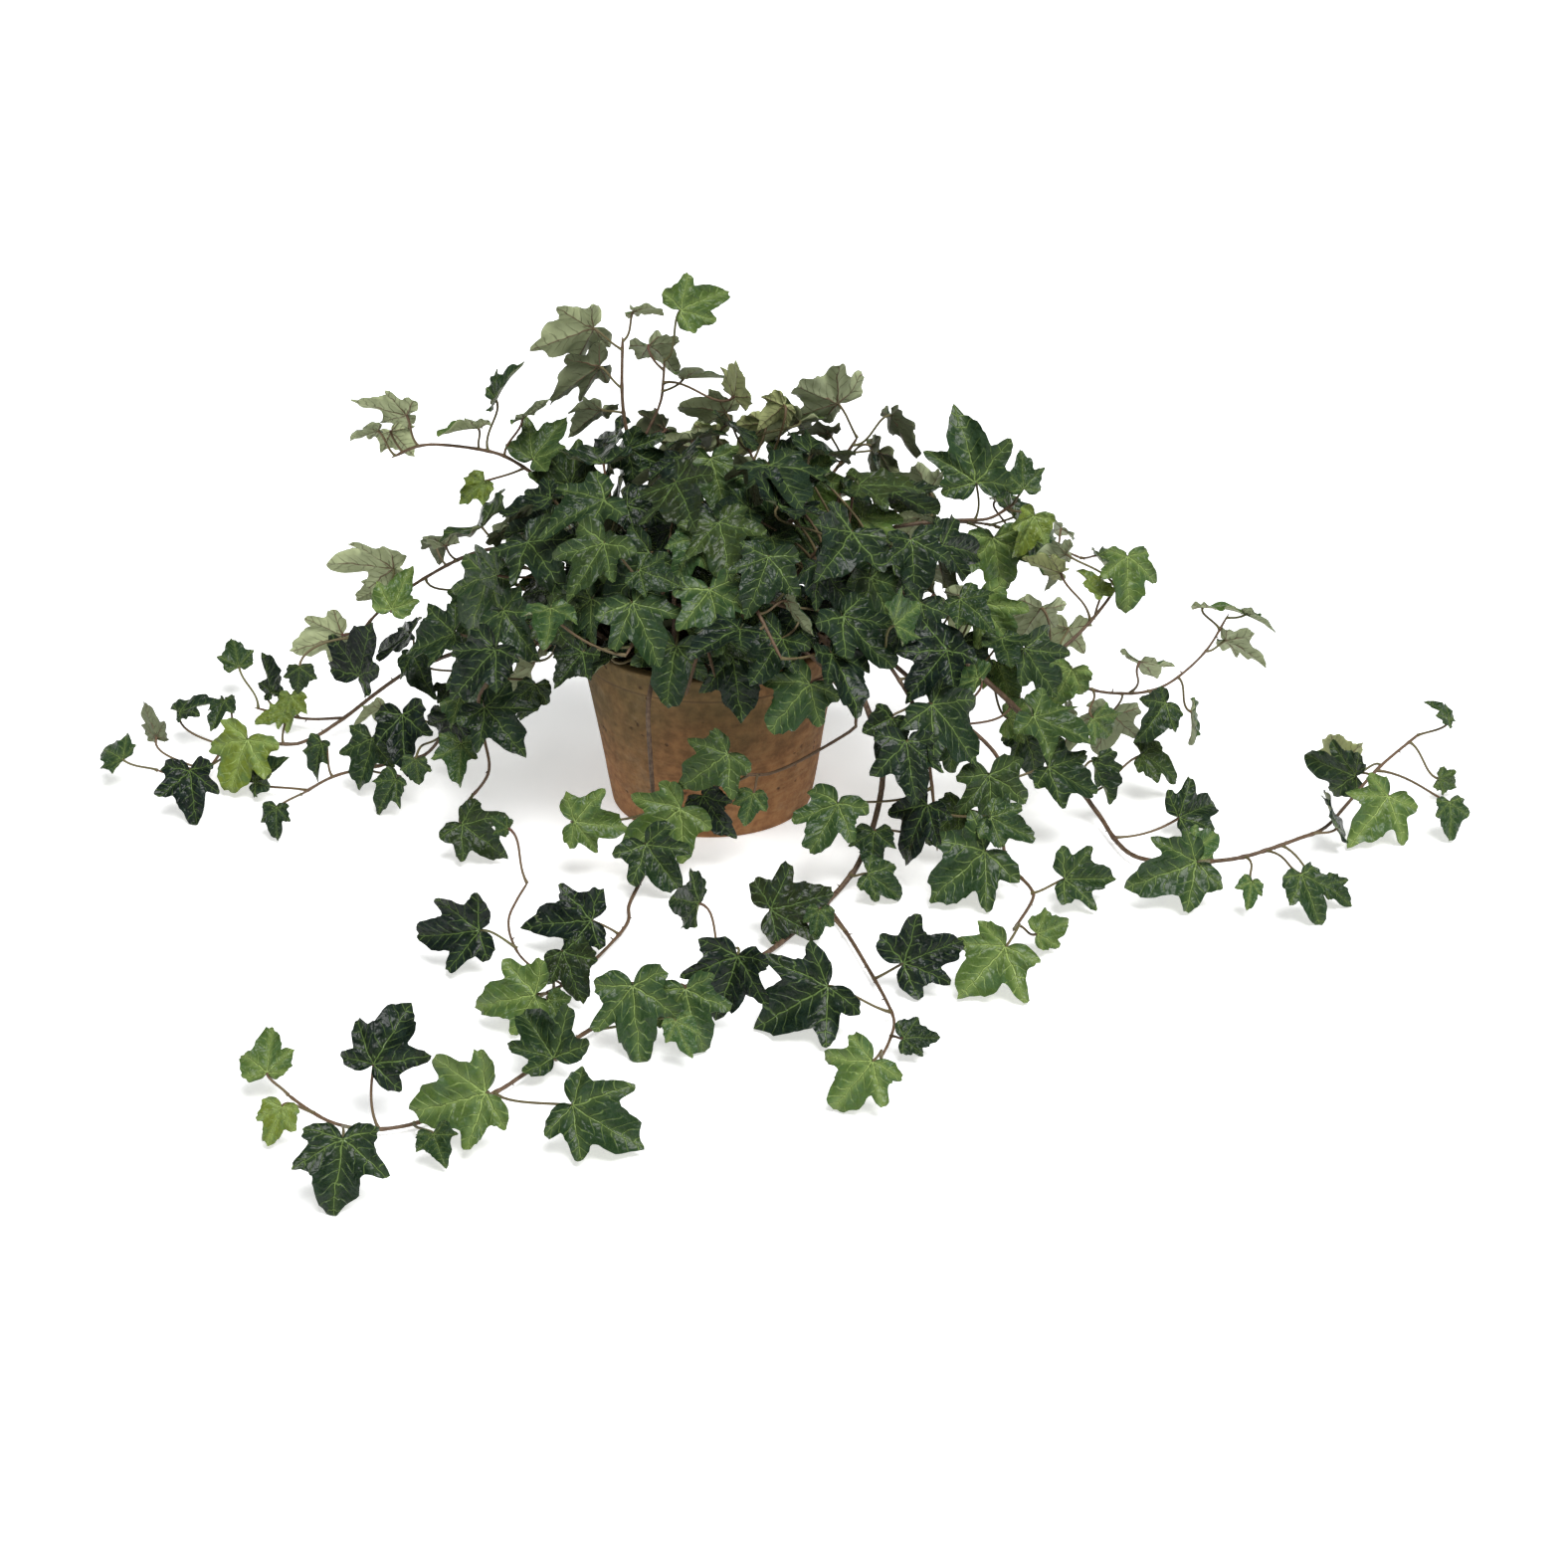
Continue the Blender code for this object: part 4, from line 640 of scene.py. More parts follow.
def grow_leaf(want, stems, obstacles, seed):
    """Places one leaf as near as it can to what is wanted, clear of all placed before, or not at all."""
    x, y, z, length, turn, facing, slope = want
    rng = random.Random(seed)
    for k in range(TRIES):
        play = k / TRIES
        pose = (
            turn + rng.gauss(0, 5 + 30 * play),
            facing + rng.gauss(0, 8 + 30 * play),
            min(max(slope + rng.gauss(0, 6 + 22 * play), 4), 88),
        )
        base = Vector((x, y, 0 if z is None else z)) * MM
        base += Vector([rng.gauss(0, 0.001 + 0.014 * play) for _ in range(3)])
        leaf = Leaf(base, length * MM * (1 - 0.25 * play), *pose)
        if z is None:
            leaf.base.z = 0
            leaf.base.z = -leaf.lowest() + FLOOR_LIFT + abs(rng.gauss(0, 0.002 + 0.02 * play))
        found = best_node(stems, leaf.base, leaf.length)
        if found is None or found[0] > LONGEST_STRETCH or leaf.lowest() < FLOOR_LIFT:
            continue
        stem, s = found[1:]
        leaf.attach(stem, s)
        if leaf.pierces_itself() or obstacles.hit(*leaf.surface(0.0005, 0), stem):
            continue
        if not obstacles.hit(*leaf.surface(0.0005, STALK_CLEAR)):
            leaf.wanted = (x, y, z, length)
            stem.nodes[s] = leaf
            obstacles.add(*leaf.surface(0, 0))
            return leaf
    return None


# ---- where every leaf is wanted ----


def crown_routes():
    """Short shoots from the soil, each up through the crown and out over the rim."""
    routes = {}
    for i in range(CROWN_SHOOTS):
        angle = 2 * math.pi * (i * 0.618034 + 0.11)
        out = Vector((math.cos(angle), math.sin(angle), 0))
        root = 20 + 34 * ((i * 7) % CROWN_SHOOTS) / CROWN_SHOOTS
        high = 158 + 34 * ((i * 5) % CROWN_SHOOTS) / CROWN_SHOOTS
        reach = 108 + 34 * ((i * 3) % 5) / 5
        side = Vector((-out.y, out.x, 0)) * (12 if i % 2 else -12)
        routes[f"crown_shoot_{i + 1:02d}"] = [
            out * root + Vector((0, 0, 111)),
            out * (root + 10) + side * 0.6 + Vector((0, 0, 136)),
            out * (0.55 * reach + 8) + side + Vector((0, 0, high)),
            out * reach + side * 0.4 + Vector((0, 0, high - 34)),
        ]
    return routes


def dome_spots(layers, shift, front_drop):
    """Spots spread evenly over a dome's layers by the golden angle, with each one's angle from the top."""
    for share, count, length, lowest in layers:
        for i in range(count):
            polar = math.acos(1 - (i + 0.5) / count * (1 - math.cos(math.radians(lowest))))
            around = i * GOLDEN_ANGLE + share * shift
            level = math.sin(polar)
            way = Vector((level * math.sin(around), -level * math.cos(around), math.cos(polar)))
            spot = CROWN_CENTRE + Vector([way[k] * CROWN_REACH[k] * share for k in range(3)])
            if spot.y >= FRONT_EDGE or spot.z >= FRONT_LOWEST - front_drop(share):
                yield i, share, length, polar, spot


def crown_leaves():
    """The dome's leaves, with their tips hanging outward."""
    for i, share, length, polar, spot in dome_spots(CROWN_LAYERS, 5, lambda share: 20 * (1 - share)):
        slope = 16 + 0.48 * math.degrees(polar)
        turn = 72 * math.sin(i * 2.1 + share)
        size = length * (0.78 + 0.30 * math.sin(i * 1.7) ** 2)
        facing = toward_light(spot.x, spot.y) + 40 * math.sin(i * 3.3 + share)
        yield *spot, size, turn, facing, slope + 22 * math.sin(i * 4.7)


def inner_leaves():
    """Leaves in the shade of the crown, which fill the gaps between those above."""
    for i, share, length, _, spot in dome_spots(INNER_LAYERS, 9, lambda _: 8):
        facing = toward_light(spot.x, spot.y) + 60 * math.sin(i * 3.3 + share)
        yield *spot, length, 80 * math.sin(i * 2.1), facing, 45 + 30 * math.sin(i * 4.7)


def toward_light(x, y):
    """Which way a leaf's upper side leans: away from the pot, and toward the front at the sides."""
    away = math.degrees(math.atan2(x, -y))
    return away * (0.55 + 0.45 * (away / 180) ** 2)


def wanted_leaves(vine, stems):
    """A vine's own leaves as (x, y, z, length, turn, facing, slope)."""
    for row in vine.get("leaves", []):
        x, y, z, length, turn = row[:5] if len(row) > 4 else (*row[:2], None, *row[2:])
        facing = vine.get("facing", toward_light(x, y))
        slope = vine["slope"]
        if len(row) == 7:
            facing, slope = row[5:]
        yield x, y, z, length, turn, facing, slope
    for route, start, end, spacing, first, last in vine.get("fill", []):
        stem = stems[route]
        count = max(1, round(stem.length * (end - start) / (spacing * MM)))
        for i in range(count):
            share = (i + 0.5) / count
            s = stem.length * (start + (end - start) * share)
            length = (first + (last - first) * share) * (1 + 0.16 * math.sin(3.7 * i + stem.length * 40))
            way = stem.along(s)
            side = Vector((-way.y, way.x, 0)).normalized() * (1 if i % 2 else -1)
            rise = 0.25 + 0.3 * math.sin(2.3 * i)
            spot = stem.point(s) / MM + (side * 0.55 + way * 0.3 + Vector((0, 0, rise))) * length
            facing = vine.get("facing", toward_light(spot.x, spot.y))
            facing += 34 * math.sin(2.9 * i + 1)
            turn = 55 * math.sin(1.9 * i + stem.length * 60)
            yield spot.x, spot.y, spot.z, length, turn, facing, vine["slope"] + 14 * math.sin(4.1 * i)


def grow_plant(pot_and_soil):
    """All stems, then all leaves. Returns each vine's stems, whose nodes hold its leaves and side shoots."""
    obstacles = Obstacles()
    for verts, faces in pot_and_soil:
        obstacles.add(verts, faces)
    plant = {}
    routes = {name: vine["routes"] for name, vine in VINES.items()}
    routes |= {name: [route] for name, route in crown_routes().items()}
    for name, lines in routes.items():
        thick = VINES.get(name, {"thick": 2.6})["thick"] * MM / 2
        main = grow_stem(lines[0], thick, 0.0008, obstacles, name)
        stems = [main]
        for line in lines[1:]:
            start = Vector(line[0]) * MM
            spots = [main.length * i / 400 for i in range(8, 392)]
            s = min(spots, key=lambda s: (main.point(s) - start).length)
            start = main.point(s) / MM
            thick = main.radius(s) * 0.8
            shoot = grow_stem([start, *line[1:]], thick, 0.0007, obstacles, f"{name} {s:.3f}", main)
            main.nodes[s] = shoot
            stems.append(shoot)
        plant[name] = stems
    for name, vine in VINES.items():
        for i, want in enumerate(wanted_leaves(vine, plant[name])):
            grow_leaf(want, plant[name], obstacles, f"{name} {i}")
    crown = [stem for name, stems in plant.items() if name not in VINES for stem in stems]
    for i, want in enumerate(crown_leaves()):
        grow_leaf(want, crown, obstacles, f"crown {i}")
    for i, want in enumerate(inner_leaves()):
        grow_leaf(want, crown, obstacles, f"inner {i}")
    return plant


# ---- materials ----


class Nodes:
    """A material, with short ways to add nodes to it."""

    def __init__(self, name, **shader):
        self.mat = bpy.data.materials.new(name)
        self.mat.use_nodes = True
        self.tree = self.mat.node_tree
        self.shader = self.tree.nodes["Principled BSDF"]
        for key, value in shader.items():
            self.shader.inputs[key.replace("_", " ")].default_value = value

    def put(self, socket, value):
        if isinstance(value, bpy.types.NodeSocket):
            self.tree.links.new(value, socket)
        else:
            socket.default_value = value

    def node(self, kind, inputs=None, **settings):
        made = self.tree.nodes.new("ShaderNode" + kind)
        for key, value in settings.items():
            setattr(made, key, value)
        for key, value in (inputs or {}).items():
            self.put(made.inputs[key], value)
        return made

    def math(self, operation, *values):
        made = self.node("Math", operation=operation)
        for socket, value in zip(made.inputs, values):
            self.put(socket, value)
        return made.outputs[0]

    def ramp(self, value, low, high):
        """0 where the value is at low, 1 at high, smooth between."""
        made = self.node("MapRange", {"Value": value, 1: low, 2: high}, interpolation_type="SMOOTHSTEP")
        return made.outputs[0]

    def vector(self, operation, a, b):
        return self.node("VectorMath", {0: a, 1: b}, operation=operation).outputs[0]

    def times(self, a, b):
        return self.math("MULTIPLY", a, b)

    def mix(self, share, a, b, most=1.0):
        """One colour into another by a share, which at its greatest is most."""
        if most != 1.0:
            share = self.times(share, most)
        a, b = [(*c, 1) if isinstance(c, tuple) else c for c in (a, b)]
        return self.node("Mix", {0: share, 6: a, 7: b}, data_type="RGBA").outputs[2]

    def noise(self, where, scale, detail=3.0, rough=0.55):
        inputs = {"Vector": where, "Scale": scale, "Detail": detail, "Roughness": rough}
        return self.node("TexNoise", inputs).outputs["Fac"]

    def cells(self, where, scale, feature="F1"):
        inputs = {"Vector": where, "Scale": scale}
        return self.node("TexVoronoi", inputs, feature=feature).outputs["Distance"]

    def split(self, colour):
        return self.node("SeparateXYZ", {0: colour}).outputs[:3]

    def tone(self):
        """The three values that the mesh carries for each vertex."""
        return self.split(self.node("Attribute", attribute_name="tone").outputs["Color"])

    def place(self):
        return self.node("TexCoord").outputs["Object"]

    def finish(self, colour, rough=None, height=None, depth=0.0005):
        self.put(self.shader.inputs["Base Color"], colour)
        if rough is not None:
            self.put(self.shader.inputs["Roughness"], rough)
        if height is not None:
            bump = self.node("Bump", {"Height": height, "Strength": 1.0, "Distance": depth})
            self.put(self.shader.inputs["Normal"], bump.outputs[0])
        return self.mat


VEINS = [(90, 1.0), (40, 0.78), (-11, 0.52)]  # each main vein's direction and length, on a blade's right half


def vein_masks(n, u, v):
    """Main veins, side veins and a soft band along the main veins, from a place on the blade."""
    half = n.math("ABSOLUTE", u)
    along = []
    for angle, reach in VEINS:
        c, s = math.cos(math.radians(angle)), math.sin(math.radians(angle))
        way = n.math("MULTIPLY_ADD", half, c, n.times(v, s))
        off = n.math("ABSOLUTE", n.math("MULTIPLY_ADD", half, -s, n.times(v, c)))
        along.append((way, off, reach))
    for k, (way, off, reach) in enumerate(along):
        width = n.math("MULTIPLY_ADD", way, -0.014 / reach, 0.020)
        here = n.times(n.ramp(n.math("DIVIDE", off, width), 1.0, 0.35), n.ramp(way, -0.01, 0.02))
        step = n.math("FRACT", n.math("DIVIDE", n.math("SUBTRACT", way, n.times(off, 0.95)), 0.155))
        line = n.ramp(n.math("ABSOLUTE", n.math("SUBTRACT", step, 0.5)), 0.100, 0.01)
        line = n.times(line, n.ramp(off, 0.26, 0.03))
        for other in (a[0] for j, a in enumerate(along) if j != k):
            line = n.times(line, n.math("GREATER_THAN", way, other))
        near = n.times(n.ramp(off, 0.11, 0.0), n.ramp(way, -0.03, 0.1))
        found = [here, line, near]
        masks = [n.math("MAXIMUM", a, b) for a, b in zip(masks, found)] if k else found
    return masks


def blade_coordinates(n):
    """The place on the blade with a small waver, and the leaf's own tone."""
    uv = n.node("UVMap", uv_map="Leaf").outputs[0]
    light, yellow, chance = n.tone()
    shift = n.node("CombineXYZ", {0: n.times(chance, 50), 1: n.times(chance, 31)}).outputs[0]
    own = n.vector("ADD", uv, shift)
    waver = n.node("TexNoise", {"Vector": own, "Scale": 5.0, "Detail": 1.0}).outputs["Color"]
    waver = n.vector("SUBTRACT", waver, (0.5, 0.5, 0.5))
    scaled = n.node("VectorMath", {0: waver, "Scale": 0.085}, operation="SCALE").outputs[0]
    moved = n.vector("ADD", uv, scaled)
    u, v, _ = n.split(moved)
    return own, u, v, light, yellow


def upper_side():
    n = Nodes("ivy_upper_side", Roughness=0.34, Specular_IOR_Level=0.17)
    own, u, v, light, yellow = blade_coordinates(n)
    main, side, band = vein_masks(n, u, v)
    dark = n.mix(light, (0.0020, 0.0056, 0.0044), (0.066, 0.148, 0.036))
    green = n.mix(yellow, dark, (0.130, 0.165, 0.018))
    # Paler, bluish patches: partly the leaves' own mottling, partly a painted sheen.
    patch = n.ramp(n.noise(own, 3.2, 4.0, 0.7), 0.44, 0.62)
    pale = n.mix(light, (0.0085, 0.0180, 0.0145), (0.092, 0.180, 0.066))
    green = n.mix(patch, green, pale, 0.6)
    net = n.times(n.ramp(n.cells(own, 19.0, "DISTANCE_TO_EDGE"), 0.07, 0.0), 0.09)
    vein = n.mix(light, (0.098, 0.155, 0.045), (0.420, 0.540, 0.160))
    halo = n.math("MULTIPLY_ADD", light, 0.55, 0.09)
    colour = n.mix(n.times(band, halo), green, vein)
    colour = n.mix(net, colour, vein)
    fade = n.ramp(n.noise(own, 6.0, 2.0), 0.25, 0.55)
    colour = n.mix(n.times(n.times(side, 0.80), fade), colour, vein)
    colour = n.mix(main, colour, vein, 0.88)
    height = n.math("MULTIPLY_ADD", main, -0.6, n.times(side, -0.35))
    height = n.math("ADD", height, n.times(n.noise(own, 6.0, 2.0, 0.45), 2.4))
    rough = n.math("MULTIPLY_ADD", n.noise(own, 9.0, 2.0), 0.24, 0.18)
    return n.finish(colour, rough, height, 0.0012)


def underside():
    n = Nodes("ivy_underside", Roughness=0.6, Specular_IOR_Level=0.3)
    own, u, v, light, yellow = blade_coordinates(n)
    main, side, _ = vein_masks(n, u, v)
    green = n.mix(n.ramp(light, 0.0, 0.34), (0.130, 0.150, 0.080), (0.330, 0.375, 0.220))
    green = n.mix(yellow, green, (0.360, 0.370, 0.090), 0.6)
    patch = n.ramp(n.noise(own, 4.0, 3.0), 0.35, 0.7)
    green = n.mix(patch, green, (0.120, 0.135, 0.060), 0.35)
    colour = n.mix(side, green, (0.100, 0.100, 0.045), 0.55)
    colour = n.mix(main, colour, (0.150, 0.085, 0.050), 0.80)
    height = n.math("MULTIPLY_ADD", main, 1.0, n.times(side, 0.6))
    return n.finish(colour, None, height, 0.0007)


def stem_bark():
    n = Nodes("ivy_stem", Roughness=0.6, Specular_IOR_Level=0.35)
    woody, red, _ = n.tone()
    place = n.place()
    streak = n.noise(place, 420.0, 3.0)
    blotch = n.noise(place, 90.0, 2.0)
    young = n.mix(red, (0.125, 0.125, 0.045), (0.115, 0.038, 0.030))
    young = n.mix(n.ramp(blotch, 0.4, 0.7), young, (0.090, 0.062, 0.032), 0.5)
    bark = n.mix(n.ramp(streak, 0.35, 0.7), (0.038, 0.020, 0.014), (0.125, 0.085, 0.052))
    colour = n.mix(woody, young, bark)
    return n.finish(colour, None, streak, 0.0004)


def terracotta():
    n = Nodes("terracotta_aged_painted_shade", Roughness=0.86, Specular_IOR_Level=0.25)
    place = n.place()
    x, _, z = n.split(place)
    broad = n.noise(place, 14.0, 4.0, 0.6)
    fine = n.noise(place, 120.0, 4.0, 0.65)
    stretched = n.vector("MULTIPLY", place, (1.0, 1.0, 5.0))
    drag = n.noise(stretched, 60.0, 3.0)
    clay = n.mix(n.ramp(fine, 0.30, 0.70), (0.180, 0.082, 0.034), (0.345, 0.165, 0.068))
    clay = n.mix(n.ramp(drag, 0.45, 0.7), clay, (0.390, 0.215, 0.095), 0.35)
    # Painted shade: the dark olive moss colour is laid on more toward the pot's top, in the shadow of the
    # leaves, and on its left, away from the key light.
    height = n.ramp(z, 0.020, 0.105)
    left = n.ramp(x, 0.085, -0.085)
    moss_and_painted_shade = n.math("MULTIPLY_ADD", left, 0.40, n.math("MULTIPLY_ADD", height, 0.62, -0.16))
    moss_and_painted_shade = n.math("ADD", moss_and_painted_shade, n.math("MULTIPLY_ADD", broad, 1.7, -0.80))
    # The moss colour: partly real moss on the clay, partly painted shade.
    moss_and_shade_colour = n.mix(n.ramp(fine, 0.2, 0.8), (0.052, 0.045, 0.017), (0.112, 0.088, 0.034))
    colour = n.mix(n.ramp(moss_and_painted_shade, 0.0, 1.0), clay, moss_and_shade_colour, 0.80)
    pits = n.ramp(n.cells(place, 150.0), 0.30, 0.12)
    sparse = n.ramp(n.noise(place, 70.0, 2.0), 0.52, 0.62)
    pits = n.times(pits, sparse)
    colour = n.mix(pits, colour, (0.035, 0.018, 0.010), 0.75)
    # Painted shade: a dark line in the crease under the band's step.
    painted_shade_under_band = n.ramp(n.math("ABSOLUTE", n.math("SUBTRACT", z, POT_HEIGHT - BAND_DEPTH - 0.0008)), 0.0012, 0.0002)
    colour = n.mix(painted_shade_under_band, colour, (0.050, 0.028, 0.015), 0.6)
    bloom = n.ramp(n.noise(place, 26.0, 5.0, 0.7), 0.56, 0.74)
    colour = n.mix(bloom, colour, (0.400, 0.300, 0.190), 0.22)
    relief = n.math("SUBTRACT", n.math("ADD", fine, n.times(drag, 0.5)), n.times(pits, 1.2))
    return n.finish(colour, None, relief, 0.0007)


def potting_soil():
    n = Nodes("potting_soil", Roughness=0.95, Specular_IOR_Level=0.2)
    place = n.place()
    grain = n.noise(place, 260.0, 5.0, 0.7)
    clod = n.ramp(n.cells(place, 210.0), 0.1, 0.6)
    colour = n.mix(n.ramp(grain, 0.35, 0.7), (0.016, 0.010, 0.006), (0.085, 0.055, 0.034))
    colour = n.mix(clod, colour, (0.030, 0.018, 0.010), 0.4)
    return n.finish(colour, None, n.math("ADD", grain, clod), 0.0015)


# ---- fine shapes ----


def smooth_object(name, mesh, sharp):
    """A smoothly shaded object, with creases where its faces meet at more than an angle in degrees."""
    mesh.shade_smooth()
    mesh.set_sharp_from_angle(angle=math.radians(sharp))
    ob = bpy.data.objects.new(name, mesh)
    bpy.context.collection.objects.link(ob)
    return ob


class Shape:
    """A mesh in the making: each face has a material slot, each vertex a tone and a place on its blade."""

    def __init__(self):
        self.verts, self.faces, self.slots, self.tones, self.places = [], [], [], [], []

    def add(self, verts, faces, slots, tone, places=None):
        start = len(self.verts)
        self.verts += [tuple(v) for v in verts]
        self.faces += [tuple(k + start for k in f) for f in faces]
        self.slots += list(slots) if not isinstance(slots, int) else [slots] * len(faces)
        self.tones += [tone] * len(verts) if isinstance(tone, tuple) else tone
        self.places += [(0, 0)] * len(verts) if places is None else [tuple(p) for p in places]

    def add_tube(self, points, radii, sides, tones):
        """A closed tube with one radius and one tone for each of its points."""
        verts, faces = tube(points, radii, sides)
        self.add(verts, faces, 0, [tone for tone in tones for _ in range(sides)])

    def build(self, name, materials, sharp):
        mesh = bpy.data.meshes.new(name)
        mesh.from_pydata(self.verts, [], self.faces)
        for mat in materials:
            mesh.materials.append(mat)
        mesh.polygons.foreach_set("material_index", self.slots)
        tones = mesh.color_attributes.new("tone", "FLOAT_COLOR", "POINT")
        tones.data.foreach_set("color", [c for t in self.tones for c in (*t, 1.0)])
        corners = np.zeros(len(mesh.loops), int)
        mesh.loops.foreach_get("vertex_index", corners)
        uv = mesh.uv_layers.new(name="Leaf")
        uv.data.foreach_set("uv", np.array(self.places, float)[corners].ravel())
        return smooth_object(name, mesh, sharp)


# A blade's right half from the stalk's end round to its tip, across and along, for a blade of length 1.
FINE_FIVE = [
    (0.012, -0.012), (0.035, -0.080), (0.095, -0.165), (0.200, -0.220), (0.325, -0.215), (0.435, -0.175),
    (0.515, -0.105), (0.505, -0.020), (0.445, 0.045), (0.415, 0.110), (0.455, 0.195), (0.525, 0.275),
    (0.588, 0.355), (0.612, 0.450), (0.545, 0.510), (0.435, 0.492), (0.325, 0.458), (0.282, 0.520),
    (0.278, 0.615), (0.252, 0.720), (0.186, 0.830), (0.092, 0.928), (0.0, 1.0),
]
FINE_THREE = [
    (0.012, -0.012), (0.040, -0.060), (0.100, -0.110), (0.185, -0.145), (0.280, -0.145), (0.355, -0.105),
    (0.405, -0.045), (0.430, 0.010), (0.445, 0.070), (0.455, 0.130), (0.472, 0.205), (0.490, 0.275),
    (0.505, 0.335), (0.515, 0.405), (0.440, 0.410), (0.365, 0.420), (0.305, 0.450), (0.280, 0.520),
    (0.260, 0.600), (0.215, 0.710), (0.145, 0.830), (0.070, 0.930), (0.0, 1.0),
]
RINGS = [0.10, 0.24, 0.40, 0.57, 0.74, 0.89, 1.0]
BLADE_FINE = 0.00045
FLOOR_GAP = 0.0004
FINE_STALK = 0.00084
ROOT_DEPTH = 0.010  # how far a stem goes on into the soil
KNOT_HALF = 0.0022
BUD_LENGTH = 0.006
ROOTLET_SPACING = 0.035
FULL_TURN = 6.3
VEIN_ANGLES = np.radians([-11, 40, 90, 140, 191])


def half_outline(points):
    """The half outline with a point added midway between each two, on a smooth curve."""
    p = np.array(points)
    fine = [p[0]]
    for i in range(len(p) - 1):
        before, after = p[max(i - 1, 0)], p[min(i + 2, len(p) - 1)]
        fine += [(9 * (p[i] + p[i + 1]) - before - after) / 16, p[i + 1]]
    return np.array(fine)


def whole_outline(points):
    right = half_outline(points)
    return np.vstack([right, right[-2::-1] * (-1, 1)])


OUTLINES = whole_outline(FINE_FIVE), whole_outline(FINE_THREE)
RAYS = len(OUTLINES[0])


def blade_faces():
    """A blade's faces, the same for every leaf: its upper side, its underside and its thin edge."""
    count = 1 + RAYS * len(RINGS)

    def at(ring_k, ray):
        return 0 if ring_k < 0 else 1 + ring_k * RAYS + ray

    upper = []
    for i in range(RAYS - 1):
        upper.append((0, at(0, i), at(0, i + 1)))
        for k in range(len(RINGS) - 1):
            upper.append((at(k, i), at(k + 1, i), at(k + 1, i + 1), at(k, i + 1)))
    lower = [tuple(v + count for v in reversed(f)) for f in upper]
    last = len(RINGS) - 1
    rim = [0, *[at(k, 0) for k in range(last)], *[at(last, i) for i in range(RAYS)]]
    rim += [at(k, RAYS - 1) for k in reversed(range(last))]
    edge = [(b, a, a + count, b + count) for a, b in zip(rim, rim[1:] + rim[:1])]
    return upper + lower + edge, [0] * len(upper) + [1] * len(lower) + [0] * len(edge)


BLADE_FACES, BLADE_SLOTS = blade_faces()


def crumple(u, v, rng):
    """Soft lumps over a blade, from a few crossing waves."""
    lumps = 0
    for size, height in ((6, 0.022), (10, 0.016), (15, 0.010), (19, 0.007), (26, 0.004)):
        turn = rng.uniform(0, FULL_TURN)
        along = u * math.cos(turn) + v * math.sin(turn)
        lumps = lumps + height * np.sin(size * along + rng.uniform(0, FULL_TURN))
    return lumps


def fine_blade(leaf, rng):
    """One leaf's vertices and their places on the blade: its outline, cup, folds and wavy edge."""
    small = leaf.length < SMALL_LEAF * MM
    young = rng.uniform(0.7, 1.0) if small else max(0.0, rng.gauss(0.1, 0.2))
    outline = OUTLINES[0] * (1 - young) + OUTLINES[1] * young
    angle = np.unwrap(np.arctan2(outline[:, 1], outline[:, 0]))

    def wave(height, count):
        return height * np.sin(count * angle + rng.uniform(0, FULL_TURN))

    waves = 1 + wave(0.055, 1) + wave(0.035, 5)
    waves += wave(0.026, 13) + wave(0.026, 21)
    waves += np.array([rng.gauss(0, 0.016) for _ in range(RAYS)])
    swing = wave(0.085, 1.6)
    lean = rng.gauss(0, 0.06)
    wide = rng.gauss(1.0, 0.05)
    share = np.array(RINGS)[:, None]
    reach = np.hypot(outline[:, 0], outline[:, 1]) * waves
    u = share * (reach * np.cos(angle + swing))[None, :]
    v = share * (reach * np.sin(angle + swing))[None, :]
    place_u, place_v = share * outline[:, 0][None, :], share * outline[:, 1][None, :]
    cad = np.array(leaf.outline())
    cad_angle = np.unwrap(np.arctan2(cad[:, 1], cad[:, 0]))
    rise = np.interp(angle, cad_angle, cad[:, 2])[None, :]
    away = np.abs(angle[:, None] - VEIN_ANGLES[None, :])
    off = np.sin(np.clip(away.min(1), 0, 1.2))[None, :] * np.hypot(u, v)
    w = rise * share ** 1.5
    w += rng.uniform(0.05, 0.26) * off - 0.30 * off ** 2
    w -= 0.010 * np.exp(-((off / 0.03) ** 2)) * (1 - 0.6 * share)
    w += share ** 3 * wave(0.042, 6)
    w += share ** 4 * wave(0.024, 13)
    w += crumple(place_u, place_v, rng) * share
    w += rng.uniform(-0.24, 0.06) * v ** 2 * (v > 0) + rng.gauss(0, 0.14) * u * v
    w += max(0, rng.gauss(0.05, 0.18)) * (np.hypot(u, 0.05) - 0.05)
    w += rng.uniform(-0.22, 0.05) * np.clip(np.abs(u) - 0.22, 0, 1) ** 2 * 3
    u = u * wide + lean * v * np.abs(v)
    top = np.vstack([[0, 0, 0], np.column_stack([u.ravel(), v.ravel(), w.ravel()])])
    axes = np.array([leaf.across, leaf.tip_way, leaf.normal])
    top = np.array(leaf.base) + top @ axes * leaf.length
    vein = np.concatenate([[1.0], (np.exp(-((off / 0.022) ** 2)) * (1 - 0.7 * share)).ravel()])
    low = top - axes[2] * BLADE_FINE * (1 + 0.9 * vein[:, None])
    if low[:, 2].min() < FLOOR_GAP:
        top[:, 2] = np.maximum(top[:, 2], FLOOR_GAP + BLADE_FINE * 2)
        low[:, 2] = np.maximum(low[:, 2], FLOOR_GAP)
    places = np.vstack([[0, 0], np.column_stack([place_u.ravel(), place_v.ravel()])])
    return np.vstack([top, low]), np.vstack([places, places])


